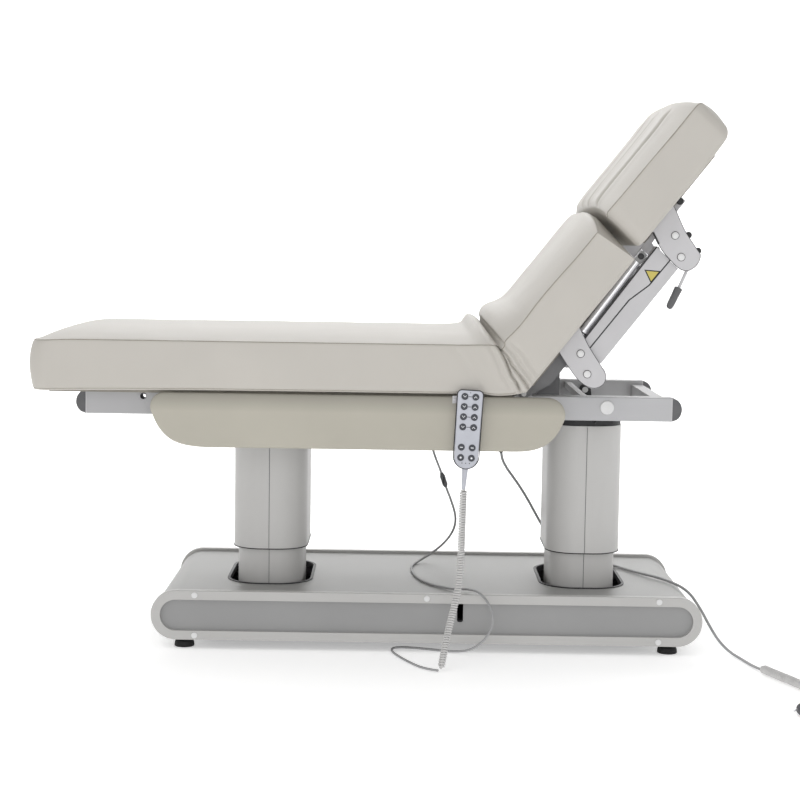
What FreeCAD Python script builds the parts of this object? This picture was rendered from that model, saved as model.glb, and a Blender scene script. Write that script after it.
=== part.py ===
"""Powered facial treatment bed: low base, two lifting columns, hinged back and head sections.

Units are millimetres. +X points to the head end, +Z up, and the user's controls hang on the -Y side.
The origin is on the floor, at the middle of the bed's outline.
"""
import FreeCAD, Part
import math
import os

os.makedirs("parts", exist_ok=True)
Vector = FreeCAD.Vector

# ---------------------------------------------------------------- driving dimensions
# base
BASE_X = 124.0            # middle of the base, along the bed
BASE_LENGTH = 1372.0
BASE_BOTTOM = 25.0        # clearance under the base
BASE_HEIGHT = 124.0
BASE_HALF_WIDTH = 308.0   # to the outer face of each side ring
RING_THICKNESS = 20.0
RING_BAND = 23.0
SHEET_INSET = 7.0         # the wrap sheet sits this far inside the rings' outline
SHEET = 2.0
PANEL_SETBACK = 9.0
PANEL_THICKNESS = 3.0
FOOT_X = 607.0            # from the base's middle
FOOT_Y = 260.0
FOOT_STUD = 5.0
SCREW_X = 577.0
# lifting columns
COLUMN_OFFSET = 405.0     # from the base's middle
COLUMN_X = {"foot": BASE_X - COLUMN_OFFSET, "head": BASE_X + COLUMN_OFFSET}
OPENING = (214.0, 346.0, 88.0)        # length, width, corner radius
LOWER_COVER = (168.0, 276.0, 66.0)
UPPER_COVER = (190.0, 300.0, 76.0)
COVER_WALL = 3.0
LOWER_COVER_TOP = 405.0
UPPER_COVER_BOTTOM = 227.0
UPPER_COVER_TOP = 557.0
OUTER_TUBE = (120.0, 170.0, 8.0)
INNER_TUBE = (102.0, 152.0, 6.0)
TUBE_WALL = 4.0
OUTER_TUBE_TOP = 400.0
INNER_TUBE_BOTTOM = 205.0
YOKE_BOTTOM = 573.0
LUG_OUT = 236.0
# bed frame
RAIL_OUT = 290.0
RAIL_IN = 240.0
RAIL_BOTTOM = 586.0
RAIL_TOP = 645.0
RAIL_FOOT_END = -724.0
RAIL_HEAD_END = 721.0
RAIL_WALL = 3.0
RAIL_HOLE = (-583.0, 631.0, 8.0)      # x, z, radius
TILT_AXIS = (561.0, 619.0)            # x, z of the hinge above the head column
FOLLOW_AXIS_Z = 600.0                 # hinge above the foot column
DECK = 12.0
CUSHION_BOTTOM = RAIL_TOP + DECK
DECK_HALF_WIDTH = 350.0
BED_HALF_WIDTH = 400.0
BED_FOOT_END = -843.0
SEAT_SIDE_TOP = 776.0
SEAT_CROWN = 795.0
SKIRT_OUT = 394.0
SKIRT_THICKNESS = 10.0
# back and head sections, in a frame (u along the section, n square to it) at the back hinge
HINGE = (354.0, 651.0)                # x, z
BACK_ANGLE = 52.0
FOLD_MITRE = 35.5                     # slope of the two cushion ends that face each other at the hinge
FOLD_GAP = 14.0
BOARD_TOP = 6.0                       # n of the back board's two faces
BOARD_BOTTOM = -5.5
BACK_BOARD_END = 418.0
BACK_SIDE_TOP = (126.0, 118.0)        # n of the back cushion's side edge, at its low and high ends
HEAD_HINGE = (438.0, -6.0)            # u, n
TUBE_Y = 326.0                        # the bright tubes and straps beside the back
PLATE_OUT = 350.0
PLATE_IN = 344.0
ARM_OUT = 341.0
ARM_IN = 306.0
ARM_WALL = 3.0
BACK_BAR_OUT = 304.0
BACK_BAR_IN = 297.0
BRACKET_OUT = 296.0
LEVER_HUB = (492.0, -112.0)           # u, n
# pins
HINGE_PIN = 6.0
COLUMN_PIN = 8.0
LEVER_PIN = 4.0
RUNNING_FIT = 0.06
# back actuator
ACTUATOR_Z = 569.0
ACTUATOR_BODY = (-160.0, 60.0)
CRANK = 90.0
CRANK_ANGLE = -73.0
CONTROL_BOX = (90.0, 338.0, 70.0, 494.0, 540.0)      # x from, x to, half width, z from, z to
# handset
HANDSET_MIDDLE = (214.0, 573.0)
HANDSET_SIZE = (62.0, 190.0, 17.0)    # width, length, thickness
HANDSET_BACK = -401.5
HANDSET_LEAN = 3.0
KEY_RADIUS = 8.0
KEY_COLUMN = 13.0
KEY_ROWS = (15.5, 40.0, 64.5, 89.0, 138.0, 163.0)     # below the handset's top edge
# cords
HANDSET_CORD_RADIUS = 3.0
HANDSET_COIL_RADIUS = 9.0
MAINS_CORD_RADIUS = 3.5
MAINS_COIL_RADIUS = 11.0

HANDSET_CORD = [
    (136, 0, 484), (142, 0, 463), (151, 0, 440), (161, 0, 416), (175, 2, 374), (193, 28, 328),
    (206, 74, 282), (202, 118, 240), (180, 152, 200), (144, 170, 166), (108, 156, 146),
    (88, 96, 145.5), (87, 18, 145.5), (98, -62, 145.5), (119, -135, 145.5), (154, -190, 145.5),
    (196, -232, 147), (228, -276, 158), (256, -322, 158), (280, -356, 132), (288, -372, 92),
    (268, -364, 48), (232, -334, 14), (188, -302, 4), (130, -280, 4), (72, -262, 4), (44, -268, 4),
    (36, -296, 4), (50, -346, 4), (82, -420, 4), (118, -482, 4), (150, -504, 6),
]
HANDSET_COIL = [
    (157, -496, 10), (164, -478, 42), (174, -452, 92), (188, -428, 142), (199, -416, 196),
    (203, -411, 262), (204, -410, 345), (206, -410, 428),
]
MAINS_CORD = [
    (318, 0, 484), (319, 1, 456), (336, 20, 424), (364, 50, 386), (394, 86, 340), (424, 126, 286),
    (454, 162, 234),
    (504, 204, 180), (560, 214, 150), (606, 184, 146.5), (642, 130, 146.5), (688, 38, 146.5),
    (744, -66, 151), (798, -140, 138), (826, -184, 96), (844, -210, 60), (864, -236, 26),
    (886, -272, 6), (904, -338, 4), (918, -408, 4), (927, -448, 7),
]
MAINS_COIL = [
    (929, -458, 11.5), (948, -510, 11.5), (972, -566, 11.5), (994, -622, 11.5), (1004, -676, 11.5),
    (996, -728, 11.5),
]
MAINS_TAIL = [(993, -738, 10), (984, -766, 5), (968, -790, 5)]


# ---------------------------------------------------------------- helpers
def box(x0, x1, y0, y1, z0, z1):
    return Part.makeBox(x1 - x0, y1 - y0, z1 - z0, Vector(x0, y0, z0))


def cylinder(radius, start, end):
    start = Vector(*start)
    along = Vector(*end) - start
    return Part.makeCylinder(radius, along.Length, start, along)


def both_sides(shape):
    """The shape and its mirror image across the bed's middle plane."""
    return [shape, shape.mirror(Vector(0, 0, 0), Vector(0, 1, 0))]


def group(shapes):
    return Part.makeCompound(shapes)


def joined(shapes):
    return shapes[0].multiFuse(shapes[1:]).removeSplitter()


def rounded_bar(x_mid, size, z0, z1):
    """An upright bar of rounded rectangular section; size is length, width, corner radius."""
    length, width, radius = size
    bar = box(x_mid - length / 2, x_mid + length / 2, -width / 2, width / 2, z0, z1)
    upright = [e for e in bar.Edges if abs(e.tangentAt(e.FirstParameter).z) > 0.99]
    return bar.makeFillet(radius, upright)


def shrunk(size, by):
    return (size[0] - 2 * by, size[1] - 2 * by, size[2] - by)


def rounded_tube(x_mid, size, wall, z0, z1):
    outer = rounded_bar(x_mid, size, z0, z1)
    return outer.cut(rounded_bar(x_mid, shrunk(size, wall), z0 - 1, z1 + 1))


def stadium(inset, y0, y1):
    """The base's outline, a bar with half-round ends, drawn in by inset."""
    radius = BASE_HEIGHT / 2 - inset
    z_mid = BASE_BOTTOM + BASE_HEIGHT / 2
    half = BASE_LENGTH / 2 - BASE_HEIGHT / 2
    left = BASE_X - half
    right = BASE_X + half
    top = Part.LineSegment(Vector(left, y0, z_mid + radius), Vector(right, y0, z_mid + radius))
    nose = Part.Arc(Vector(right, y0, z_mid + radius), Vector(right + radius, y0, z_mid),
                    Vector(right, y0, z_mid - radius))
    bottom = Part.LineSegment(Vector(right, y0, z_mid - radius), Vector(left, y0, z_mid - radius))
    tail = Part.Arc(Vector(left, y0, z_mid - radius), Vector(left - radius, y0, z_mid),
                    Vector(left, y0, z_mid + radius))
    outline = Part.Wire([c.toShape() for c in (top, nose, bottom, tail)])
    return Part.Face(outline).extrude(Vector(0, y1 - y0, 0))


def prism(points, y0, y1):
    """A plate from XZ points; a point given as (x, z, "arc") is the middle of an arc."""
    edges = []
    start = points[0]
    middle = None
    for point in list(points[1:]) + [points[0]]:
        if len(point) == 3:
            middle = point
            continue
        a = Vector(start[0], y0, start[1])
        b = Vector(point[0], y0, point[1])
        if middle is None:
            edges.append(Part.LineSegment(a, b).toShape())
        else:
            edges.append(Part.Arc(a, Vector(middle[0], y0, middle[1]), b).toShape())
        start = point
        middle = None
    return Part.Face(Part.Wire(edges)).extrude(Vector(0, y1 - y0, 0))


def at_back(u, n):
    """XZ of a point given along (u) and square to (n) the raised back section."""
    a = math.radians(BACK_ANGLE)
    return (HINGE[0] + u * math.cos(a) - n * math.sin(a), HINGE[1] + u * math.sin(a) + n * math.cos(a))


def back_prism(points, y0, y1):
    return prism([at_back(p[0], p[1]) + tuple(p[2:]) for p in points], y0, y1)


def back_block(u0, u1, n0, n1, y0, y1):
    return back_prism([(u0, n0), (u1, n0), (u1, n1), (u0, n1)], y0, y1)


def back_pin(u, n, radius, y0, y1):
    x, z = at_back(u, n)
    return cylinder(radius, (x, y0, z), (x, y1, z))


def route_edges(points):
    """Straight runs joined by tangent arcs, each as large as its two runs allow."""
    corners = [Vector(*p) for p in points]
    edges = []
    radii = []
    here = corners[0]
    for before, corner, after in zip(corners, corners[1:], corners[2:]):
        back = before - corner
        on = after - corner
        turn = math.pi - back.getAngle(on)
        shorter = min(back.Length, on.Length)
        cut = 0.45 * shorter
        radii.append(cut / math.tan(turn / 2))
        back.normalize()
        on.normalize()
        start = corner + back * cut
        end = corner + on * cut
        inward = back + on
        inward.normalize()
        reach = radii[-1] / math.cos(turn / 2) - radii[-1]
        edges.append(Part.LineSegment(here, start).toShape())
        edges.append(Part.Arc(start, corner + inward * reach, end).toShape())
        here = end
    edges.append(Part.LineSegment(here, corners[-1]).toShape())
    return edges, radii


def route_tube(name, points, radius):
    edges, radii = route_edges(points)
    path = Part.Wire(edges)
    start = Vector(*points[0])
    along = Vector(*points[1]) - start
    ring = Part.Wire([Part.makeCircle(radius, start, along)])
    tube = path.makePipeShell([ring], True, False)
    ideal = math.pi * radius ** 2 * path.Length
    print(name, "length", round(path.Length), "tightest radius", round(min(radii), 1),
          "volume ratio", round(tube.Volume / ideal, 4))
    return tube


def save(name, shape):
    shape.exportStep("parts/%s.step" % name)


# ---------------------------------------------------------------- base
def foot_places():
    """Where the four levelling feet stand: both at the foot end first."""
    return [(BASE_X + s * FOOT_X, t * FOOT_Y) for s in (-1, 1) for t in (-1, 1)]


def base_cover():
    """The wrapped sheet: top, rounded ends and a return under each end."""
    inside = BASE_HALF_WIDTH - RING_THICKNESS
    sheet = stadium(SHEET_INSET, -inside, inside)
    sheet = sheet.cut(stadium(SHEET_INSET + SHEET, -inside - 1, inside + 1))
    underside = box(BASE_X - 560, BASE_X + 560, -inside - 1, inside + 1, 0, BASE_BOTTOM + 30)
    sheet = sheet.cut(underside)
    for x in COLUMN_X.values():
        sheet = sheet.cut(rounded_bar(x, OPENING, 100, 200))
    for x, y in foot_places():
        sheet = sheet.cut(cylinder(7, (x, y, 20), (x, y, 60)))
    return sheet


def base_ring(front):
    y0 = -BASE_HALF_WIDTH if front else BASE_HALF_WIDTH - RING_THICKNESS
    y1 = y0 + RING_THICKNESS
    ring = stadium(0, y0, y1)
    outer = [e for e in ring.Edges if abs(e.CenterOfMass.y - (y0 if front else y1)) < 0.01]
    ring = ring.makeFillet(2.5, outer)
    return ring.cut(stadium(RING_BAND, y0 - 1, y1 + 1))


def base_panels():
    """The recessed side panels; each has an upright service slot."""
    y0 = -BASE_HALF_WIDTH + PANEL_SETBACK
    panel = stadium(RING_BAND, y0, y0 + PANEL_THICKNESS)
    slot = box(200, 215, y0 - 5, y0 + 5, 78, 126)
    slot = slot.makeFillet(5, [e for e in slot.Edges if abs(e.tangentAt(e.FirstParameter).y) > 0.99])
    return group([panel.cut(slot), panel.mirror(Vector(0, 0, 0), Vector(0, 1, 0))])


def base_chassis():
    """Steel floor pan with column seats, foot channels and two long side members."""
    pan = box(BASE_X - 555, BASE_X + 555, -276, 276, 36, 40)
    seats = [box(x - 92, x + 92, -150, 150, 40, 48) for x in COLUMN_X.values()]
    channels = [box(BASE_X + s * FOOT_X - 30, BASE_X + s * FOOT_X + 30, -284, 284, 40, 62) for s in (-1, 1)]
    tongues = [box(BASE_X - FOOT_X - 30, BASE_X - 540, -276, 276, 36, 40),
               box(BASE_X + 540, BASE_X + FOOT_X + 30, -276, 276, 36, 40)]
    members = both_sides(box(BASE_X - FOOT_X, BASE_X + FOOT_X, -285, -262, 40, 80))
    chassis = joined([pan] + seats + channels + tongues + members)
    for x, y in foot_places():
        chassis = chassis.cut(cylinder(FOOT_STUD + RUNNING_FIT, (x, y, 30), (x, y, 90)))
    return chassis


def levelling_foot(x, y):
    pad = Part.makeCone(25, 23, 14, Vector(x, y, 0))
    neck = Part.makeCone(23, 12, 6, Vector(x, y, 14))
    stud = cylinder(FOOT_STUD, (x, y, 18), (x, y, 74))
    return joined([pad, neck, stud])


def ring_screws():
    z_top = BASE_BOTTOM + BASE_HEIGHT - RING_BAND / 2
    z_low = BASE_BOTTOM + RING_BAND / 2
    places = [(BASE_X + s * SCREW_X, z) for s in (-1, 1) for z in (z_top, z_low)] + [(BASE_X, z_top)]
    screws = []
    for x, z in places:
        head = cylinder(7.5, (x, -BASE_HALF_WIDTH, z), (x, -BASE_HALF_WIDTH - 2.5, z))
        rim = [e for e in head.Edges if abs(e.CenterOfMass.y + BASE_HALF_WIDTH + 2.5) < 0.01]
        screws += both_sides(head.makeFillet(1.5, rim))
    return group(screws)


def opening_trims():
    """Black edge strip around each column opening."""
    z = BASE_BOTTOM + BASE_HEIGHT - SHEET_INSET
    trims = []
    for x in COLUMN_X.values():
        lip = rounded_bar(x, shrunk(OPENING, -4), z, z + 2)
        throat = rounded_bar(x, OPENING, z - 12, z + 1)
        hole = rounded_bar(x, shrunk(OPENING, 3), z - 20, z + 10)
        trims.append(joined([lip, throat]).cut(hole))
    return group(trims)


# ---------------------------------------------------------------- lifting columns
def with_seam(cover, x, half_depth, z0, z1):
    """A fine upright joint line at the front and the rear of a column cover."""
    for s in (-1, 1):
        y = s * half_depth
        cover = cover.cut(box(x - 0.8, x + 0.8, y - 0.9, y + 0.9, z0 - 1, z1 + 1))
    return cover


def lower_cover(x):
    cover = rounded_tube(x, LOWER_COVER, COVER_WALL, 48, LOWER_COVER_TOP)
    return with_seam(cover, x, LOWER_COVER[1] / 2, 48, LOWER_COVER_TOP)


def upper_cover(x):
    tube = rounded_tube(x, UPPER_COVER, COVER_WALL, UPPER_COVER_BOTTOM, UPPER_COVER_TOP)
    lid = rounded_bar(x, UPPER_COVER, UPPER_COVER_TOP - 3, UPPER_COVER_TOP)
    lid = lid.cut(rounded_bar(x, INNER_TUBE, UPPER_COVER_TOP - 4, UPPER_COVER_TOP + 1))
    return with_seam(joined([tube, lid]), x, UPPER_COVER[1] / 2, UPPER_COVER_BOTTOM, UPPER_COVER_TOP)


def lift_column_bodies():
    """The fixed half of each lifting column: outer tube, spindle, and its motor beside it."""
    parts = []
    for x in COLUMN_X.values():
        tube = rounded_tube(x, OUTER_TUBE, TUBE_WALL, 56, OUTER_TUBE_TOP)
        foot = rounded_bar(x, OUTER_TUBE, 48, 56)
        spindle = cylinder(9, (x, 0, 56), (x, 0, 392))
        parts.append(joined([tube, foot, spindle]))
        toward = -1 if x > BASE_X else 1
        motor = cylinder(32, (x + toward * 130, 0, 92), (x + toward * 260, 0, 92))
        gearbox = box(-26, 26, -40, 40, 52, 130)
        gearbox.translate(Vector(x + toward * 132, 0, 0))
        mount = box(-60, 60, -20, 20, 48, 64)
        mount.translate(Vector(x + toward * 180, 0, 0))
        parts.append(joined([motor, gearbox, mount]))
    return group(parts)


def lift_inner(x, pin_x, pin_z):
    """The moving half of a lifting column, with the nut inside and the hinge lugs on top."""
    top = YOKE_BOTTOM
    tube = rounded_tube(x, INNER_TUBE, TUBE_WALL, INNER_TUBE_BOTTOM, top)
    nut = rounded_bar(x, shrunk(INNER_TUBE, 1), INNER_TUBE_BOTTOM, INNER_TUBE_BOTTOM + 16)
    nut = nut.cut(cylinder(14, (x, 0, INNER_TUBE_BOTTOM - 1), (x, 0, INNER_TUBE_BOTTOM + 20)))
    plate = box(min(x - 45, pin_x - 22), max(x + 45, pin_x + 22), -70, 70, top, top + 8)
    yoke = box(pin_x - 22, pin_x + 22, -LUG_OUT, LUG_OUT, top, top + 8)
    lug_points = [(pin_x - 22, top), (pin_x + 22, top), (pin_x + 16, pin_z), (pin_x, pin_z + 16, "arc"),
                  (pin_x - 16, pin_z)]
    lugs = both_sides(prism(lug_points, -LUG_OUT, -LUG_OUT + 8))
    body = joined([tube, nut, plate, yoke] + lugs)
    return body.cut(cylinder(COLUMN_PIN + RUNNING_FIT, (pin_x, -300, pin_z), (pin_x, 300, pin_z)))


def column_cap(x):
    """Black boot that closes the head column under the bed frame."""
    boot = rounded_bar(x, shrunk(UPPER_COVER, 2), UPPER_COVER_TOP, YOKE_BOTTOM)
    return boot.cut(rounded_bar(x, INNER_TUBE, UPPER_COVER_TOP - 1, YOKE_BOTTOM + 1))


# ---------------------------------------------------------------- bed frame
def rail():
    bar = box(RAIL_FOOT_END, RAIL_HEAD_END, -RAIL_OUT, -RAIL_IN, RAIL_BOTTOM, RAIL_TOP)
    along = [e for e in bar.Edges if abs(e.tangentAt(e.FirstParameter).x) > 0.99]
    bar = bar.makeFillet(3, along)
    w = RAIL_WALL
    bore = box(RAIL_FOOT_END - 1, RAIL_HEAD_END + 1, -RAIL_OUT + w, -RAIL_IN - w,
               RAIL_BOTTOM + w, RAIL_TOP - w)
    bar = bar.cut(bore)
    x, z, radius = RAIL_HOLE
    bar = bar.cut(cylinder(radius, (x, -RAIL_OUT - 1, z), (x, -RAIL_IN + 1, z)))
    for px, pz in (TILT_AXIS, (COLUMN_X["foot"], FOLLOW_AXIS_Z)):
        bar = bar.cut(cylinder(COLUMN_PIN, (px, -RAIL_OUT - 1, pz), (px, -RAIL_IN + 1, pz)))
    return bar


def rail_end_caps():
    """Dark plugs with a half-round nose on all four rail ends."""
    caps = []
    for end, out in ((RAIL_FOOT_END, -1), (RAIL_HEAD_END, 1)):
        points = [(end, RAIL_BOTTOM), (end + out * 13, RAIL_BOTTOM + 5),
                  (end + out * 25, (RAIL_BOTTOM + RAIL_TOP) / 2, "arc"),
                  (end + out * 13, RAIL_TOP - 5), (end, RAIL_TOP)]
        caps += both_sides(prism(points, -RAIL_OUT, -RAIL_IN))
    return group(caps)


def cross_beams():
    """Beams between the rails, the actuator's anchor and the outer brackets of the back hinge."""
    beams = [box(x, x + w, -RAIL_IN, RAIL_IN, z0, z1) for x, w, z0, z1 in (
        (-700, 40, 600, 640), (505, 16, 624, 640), (690, 31, 600, 634))]
    back_x = ACTUATOR_BODY[0]
    anchor = joined([box(back_x - 40, back_x, -RAIL_IN, RAIL_IN, 600, 640),
                     box(back_x - 18, back_x - 4, -34, 34, 548, 602)])
    x, z = HINGE
    bracket = prism([(x - 12, z), (x, z + 12, "arc"), (x + 12, z), (x + 60, 620), (x + 60, 592),
                     (x - 60, 592), (x - 60, 620)], -BRACKET_OUT, -RAIL_OUT)
    bracket = bracket.cut(cylinder(HINGE_PIN, (x, -RAIL_OUT - 20, z), (x, -RAIL_OUT + 1, z)))
    return group(beams + [anchor] + both_sides(bracket))


def pivot_pins():
    """Hinge pins of the back and of both column heads, and the pale cover discs on the rails."""
    x, z = HINGE
    pins = both_sides(cylinder(HINGE_PIN, (x, -RAIL_OUT, z), (x, -BACK_BAR_OUT - 3, z)))
    for x, z in ((COLUMN_X["foot"], FOLLOW_AXIS_Z), TILT_AXIS):
        pins += both_sides(cylinder(COLUMN_PIN, (x, -RAIL_OUT, z), (x, -LUG_OUT + 10, z)))
    x, z = TILT_AXIS
    face = -RAIL_OUT - 4
    disc = cylinder(17, (x, -RAIL_OUT, z), (x, face, z))
    rim = [e for e in disc.Edges if abs(e.CenterOfMass.y - face) < 0.01]
    return group(pins + both_sides(disc.makeFillet(2, rim)))


def seat_deck():
    half = DECK_HALF_WIDTH
    return box(BED_FOOT_END + 40, HINGE[0] - 32, -half, half, RAIL_TOP, CUSHION_BOTTOM)


def crowned_bar(side_top, crown_top, bottom, x0, x1):
    """A cushion blank: flat bottom, straight sides and an arched top, along X."""
    w = BED_HALF_WIDTH
    edges = [
        Part.LineSegment(Vector(x0, -w, side_top), Vector(x0, -w, bottom)).toShape(),
        Part.LineSegment(Vector(x0, -w, bottom), Vector(x0, w, bottom)).toShape(),
        Part.LineSegment(Vector(x0, w, bottom), Vector(x0, w, side_top)).toShape(),
        Part.Arc(Vector(x0, w, side_top), Vector(x0, 0, crown_top), Vector(x0, -w, side_top)).toShape(),
    ]
    return Part.Face(Part.Wire(edges)).extrude(Vector(x1 - x0, 0, 0))


def seat_cushion():
    blank = crowned_bar(SEAT_SIDE_TOP, SEAT_CROWN, CUSHION_BOTTOM + 0.5, BED_FOOT_END, HINGE[0])
    corners = [e for e in blank.Edges
               if abs(e.tangentAt(e.FirstParameter).z) > 0.99 and e.CenterOfMass.x < BED_FOOT_END + 1]
    blank = blank.makeFillet(55, corners)
    reach = 300
    lean = reach * math.tan(math.radians(FOLD_MITRE))
    x = HINGE[0] - FOLD_GAP
    cutter = prism([(x, 600), (x, HINGE[1]), (x - lean, HINGE[1] + reach), (x + 400, HINGE[1] + reach),
                    (x + 400, 600)], -500, 500)
    return blank.cut(cutter)


def skirt():
    """Upholstered side panel with sweeping lower corners, hung from the deck on three angles."""
    top = CUSHION_BOTTOM - 7
    points = [(-530, top), (-551, 628, "arc"), (-548, 598), (-508, 540, "arc"), (-420, 518),
              (345, 518), (405, 535, "arc"), (443, 588), (447, 628, "arc"), (400, top)]
    panel = prism(points, -SKIRT_OUT, -SKIRT_OUT + SKIRT_THICKNESS)
    angles = [box(x - 15, x + 15, -SKIRT_OUT + SKIRT_THICKNESS, -DECK_HALF_WIDTH, 560, top)
              for x in (-480, -100, 260)]
    return joined([panel] + angles)


def control_box():
    """Power supply and motor controller under the seat, with its two cord outlets below."""
    x0, x1, half, z0, z1 = CONTROL_BOX
    case = box(x0, x1, -half, half, z0, z1)
    case = case.makeFillet(6, [e for e in case.Edges if abs(e.tangentAt(e.FirstParameter).z) > 0.99])
    hangers = both_sides(box(x0 + 20, x1 - 60, -half, -half + 5, z1 - 20, RAIL_TOP))
    outlets = [strain_relief(HANDSET_CORD, HANDSET_CORD_RADIUS, 26),
               strain_relief(MAINS_CORD, MAINS_CORD_RADIUS, 29)]
    return joined([case] + hangers + outlets)


def strain_relief(route, radius, length):
    """Tapered rubber boot around the first stretch of a cord, rooted 14 mm above the cord's end."""
    start = Vector(*route[0])
    along = Vector(*route[1]) - start
    along.normalize()
    boot = Part.makeCone(radius + 4, radius + 1.6, length, start - along * 14, along)
    return boot.cut(Part.makeCylinder(radius + RUNNING_FIT, length, start, along))


def back_actuator_body():
    """Linear actuator under the seat that raises the back: outer tube with motor and gearbox."""
    z = ACTUATOR_Z
    x0, x1 = ACTUATOR_BODY
    tube = cylinder(17, (x0, 0, z), (x1, 0, z))
    gearbox = box(x0 - 4, x0 + 52, -30, 30, z - 24, z + 24)
    drive = cylinder(22, (x0 + 24, 30, z), (x0 + 24, 130, z))
    bore = cylinder(12.5, (x0 + 60, 0, z), (x1 + 1, 0, z))
    return joined([tube, gearbox, drive]).cut(bore)


def crank_tip():
    """XZ of the pin on which the actuator pushes."""
    a = math.radians(CRANK_ANGLE)
    return HINGE[0] + CRANK * math.cos(a), HINGE[1] + CRANK * math.sin(a)


def back_actuator_rod():
    """Push rod with a slotted fork that drives the crank pin of the back."""
    z = ACTUATOR_Z
    x = crank_tip()[0]
    half = HINGE_PIN + 2.4
    rod = cylinder(10, (ACTUATOR_BODY[1] - 40, 0, z), (x - 18, 0, z))
    head = box(x - 20, x + 18, -9, 9, z - 21, z + 21)
    ends = [cylinder(half, (x, -10, z + s * 7), (x, 10, z + s * 7)) for s in (-1, 1)]
    slot = joined([box(x - half, x + half, -10, 10, z - 7, z + 7)] + ends)
    return joined([rod, head]).cut(slot)


def handset_hook():
    """Bent wire hook and its plate on the side panel, and the peg that carries the handset."""
    y = -SKIRT_OUT
    plate = box(176, 228, y - 2, y, 634, 652)
    tip = cylinder(3, (181, y, 643), (181, y - 10, 643))
    peg = cylinder(4, (218, y, 643), (218, y - 12, 643))
    return joined([plate, tip, peg])


# ---------------------------------------------------------------- back section
def back_cushion():
    bottom = BOARD_TOP + 0.5
    low, high = BACK_SIDE_TOP
    start = FOLD_GAP
    fold = start + (low - bottom) * math.tan(math.radians(FOLD_MITRE))
    slab = back_prism([(start, bottom), (BACK_BOARD_END + 5, bottom), (412, high), (fold, low)],
                      -BED_HALF_WIDTH, BED_HALF_WIDTH)
    outline = [(start + 20, bottom + 20), (422, bottom + 20), (432, high + 32), (fold + 20, low + 16)]
    crown = back_prism(outline, -BED_HALF_WIDTH + 70, BED_HALF_WIDTH - 70)
    return joined([slab, crown])


def back_board():
    return back_block(30, BACK_BOARD_END, BOARD_BOTTOM, BOARD_TOP, -308, 308)


def back_side_bar():
    """Steel bar under one edge of the back board, with its hinge eye and the stub for the side plate."""
    y0 = -BACK_BAR_OUT
    y1 = -BACK_BAR_IN
    eye = back_pin(0, 0, 12, y0, y1)
    neck = back_prism([(0, -12), (60, -36), (60, BOARD_BOTTOM), (32, BOARD_BOTTOM), (0, 12)], y0, y1)
    bar = back_block(55, BACK_BOARD_END - 2, -36, BOARD_BOTTOM, y0, y1)
    stub = back_block(140, 172, -34, -8, -PLATE_IN, y1)
    side = joined([eye, neck, bar, stub])
    return side.cut(back_pin(0, 0, HINGE_PIN + RUNNING_FIT, y0 - 1, y1 + 1))


def back_crank():
    """Cross bar under the back board with its two gussets and the crank that the actuator pushes."""
    tip_x, tip_z = crank_tip()
    cross = back_block(60, 84, -36, BOARD_BOTTOM, -226, 226)
    gussets = both_sides(prism([(388, 636), (396, 605), (451, 605), (451, 716)], -196, -188))
    root = [at_back(84, -36), at_back(84, -14), at_back(60, -14)]
    cheek = prism(root + [(tip_x - 13, tip_z), (tip_x, tip_z - 13, "arc"), (tip_x + 13, tip_z)], -22, -14)
    pin = cylinder(HINGE_PIN, (tip_x, -22, tip_z), (tip_x, 22, tip_z))
    return joined([cross, pin] + gussets + both_sides(cheek))


def back_frame():
    """Dark steel frame of the back: two side bars, the top tie and the crank weldment."""
    tie = back_block(BACK_BOARD_END - 18, BACK_BOARD_END + 2, -30, BOARD_BOTTOM, -BACK_BAR_IN, BACK_BAR_IN)
    return group(both_sides(back_side_bar()) + [tie, back_crank()])


def domed_screws(places):
    """Domed screw heads on the outer face of the side plates, at the given u and n."""
    screws = []
    face = -PLATE_OUT - 4
    for u, n in places:
        head = back_pin(u, n, 8.5, face, -PLATE_OUT)
        rim = [e for e in head.Edges if abs(e.CenterOfMass.y - face) < 0.01]
        screws += both_sides(head.makeFillet(3, rim))
    return screws


def back_side_plates():
    """Swept plate on each side of the back that carries the arm's lower end, with its screws."""
    points = [(134, 4), (121, -36), (111.5, -72), (111, -97), (141, -130, "arc"), (171, -99),
              (187.5, -50), (200, -21), (212, 4)]
    plate = back_prism(points, -PLATE_OUT, -PLATE_IN)
    return group(both_sides(plate) + domed_screws([(163.6, -40), (135, -84)]))


def side_tubes():
    """Bright tubes beside the back, each with a foot, a holder and a flat hinge strap at the top."""
    y = -TUBE_Y
    low = at_back(196, -14)
    high = at_back(422, -7)
    tube = cylinder(10.5, (low[0], y, low[1]), (high[0], y, high[1]))
    strap = back_block(418, 452, -18, 3.5, y - 4, y + 4)
    foot = back_block(184, 200, -24, -4, y - 11, y + 11)
    holder = back_block(384, 408, -20, -8, y + 4, -BACK_BAR_OUT)
    shape = joined([tube, strap, foot, holder])
    u, n = HEAD_HINGE
    return group(both_sides(shape.cut(back_pin(u, n, HINGE_PIN + RUNNING_FIT, y - 20, y + 20))))


def arm_shells(outline, hollow):
    """The upper or the lower half of both arms, each a long box that is open on its inner side."""
    shell = back_prism(outline, -ARM_OUT, -ARM_IN)
    return group(both_sides(shell.cut(back_prism(hollow, -ARM_OUT + ARM_WALL, -ARM_IN + 1))))


def upper_arm_shells():
    outline = [(176, -25), (176, -49.4), (338, -49.4), (396, -64.4), (474, -65.4), (480, -19)]
    hollow = [(182, -29), (182, -45), (342, -45), (400, -60), (470, -61), (474, -24)]
    return arm_shells(outline, hollow)


def lower_arm_shells():
    outline = [(178, -50.6), (338, -50.6), (396, -65.6), (473, -66.6), (471, -94), (176, -95)]
    hollow = [(184, -55), (337, -55), (394, -70), (467, -71), (465, -90), (182, -90)]
    return arm_shells(outline, hollow)


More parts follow.
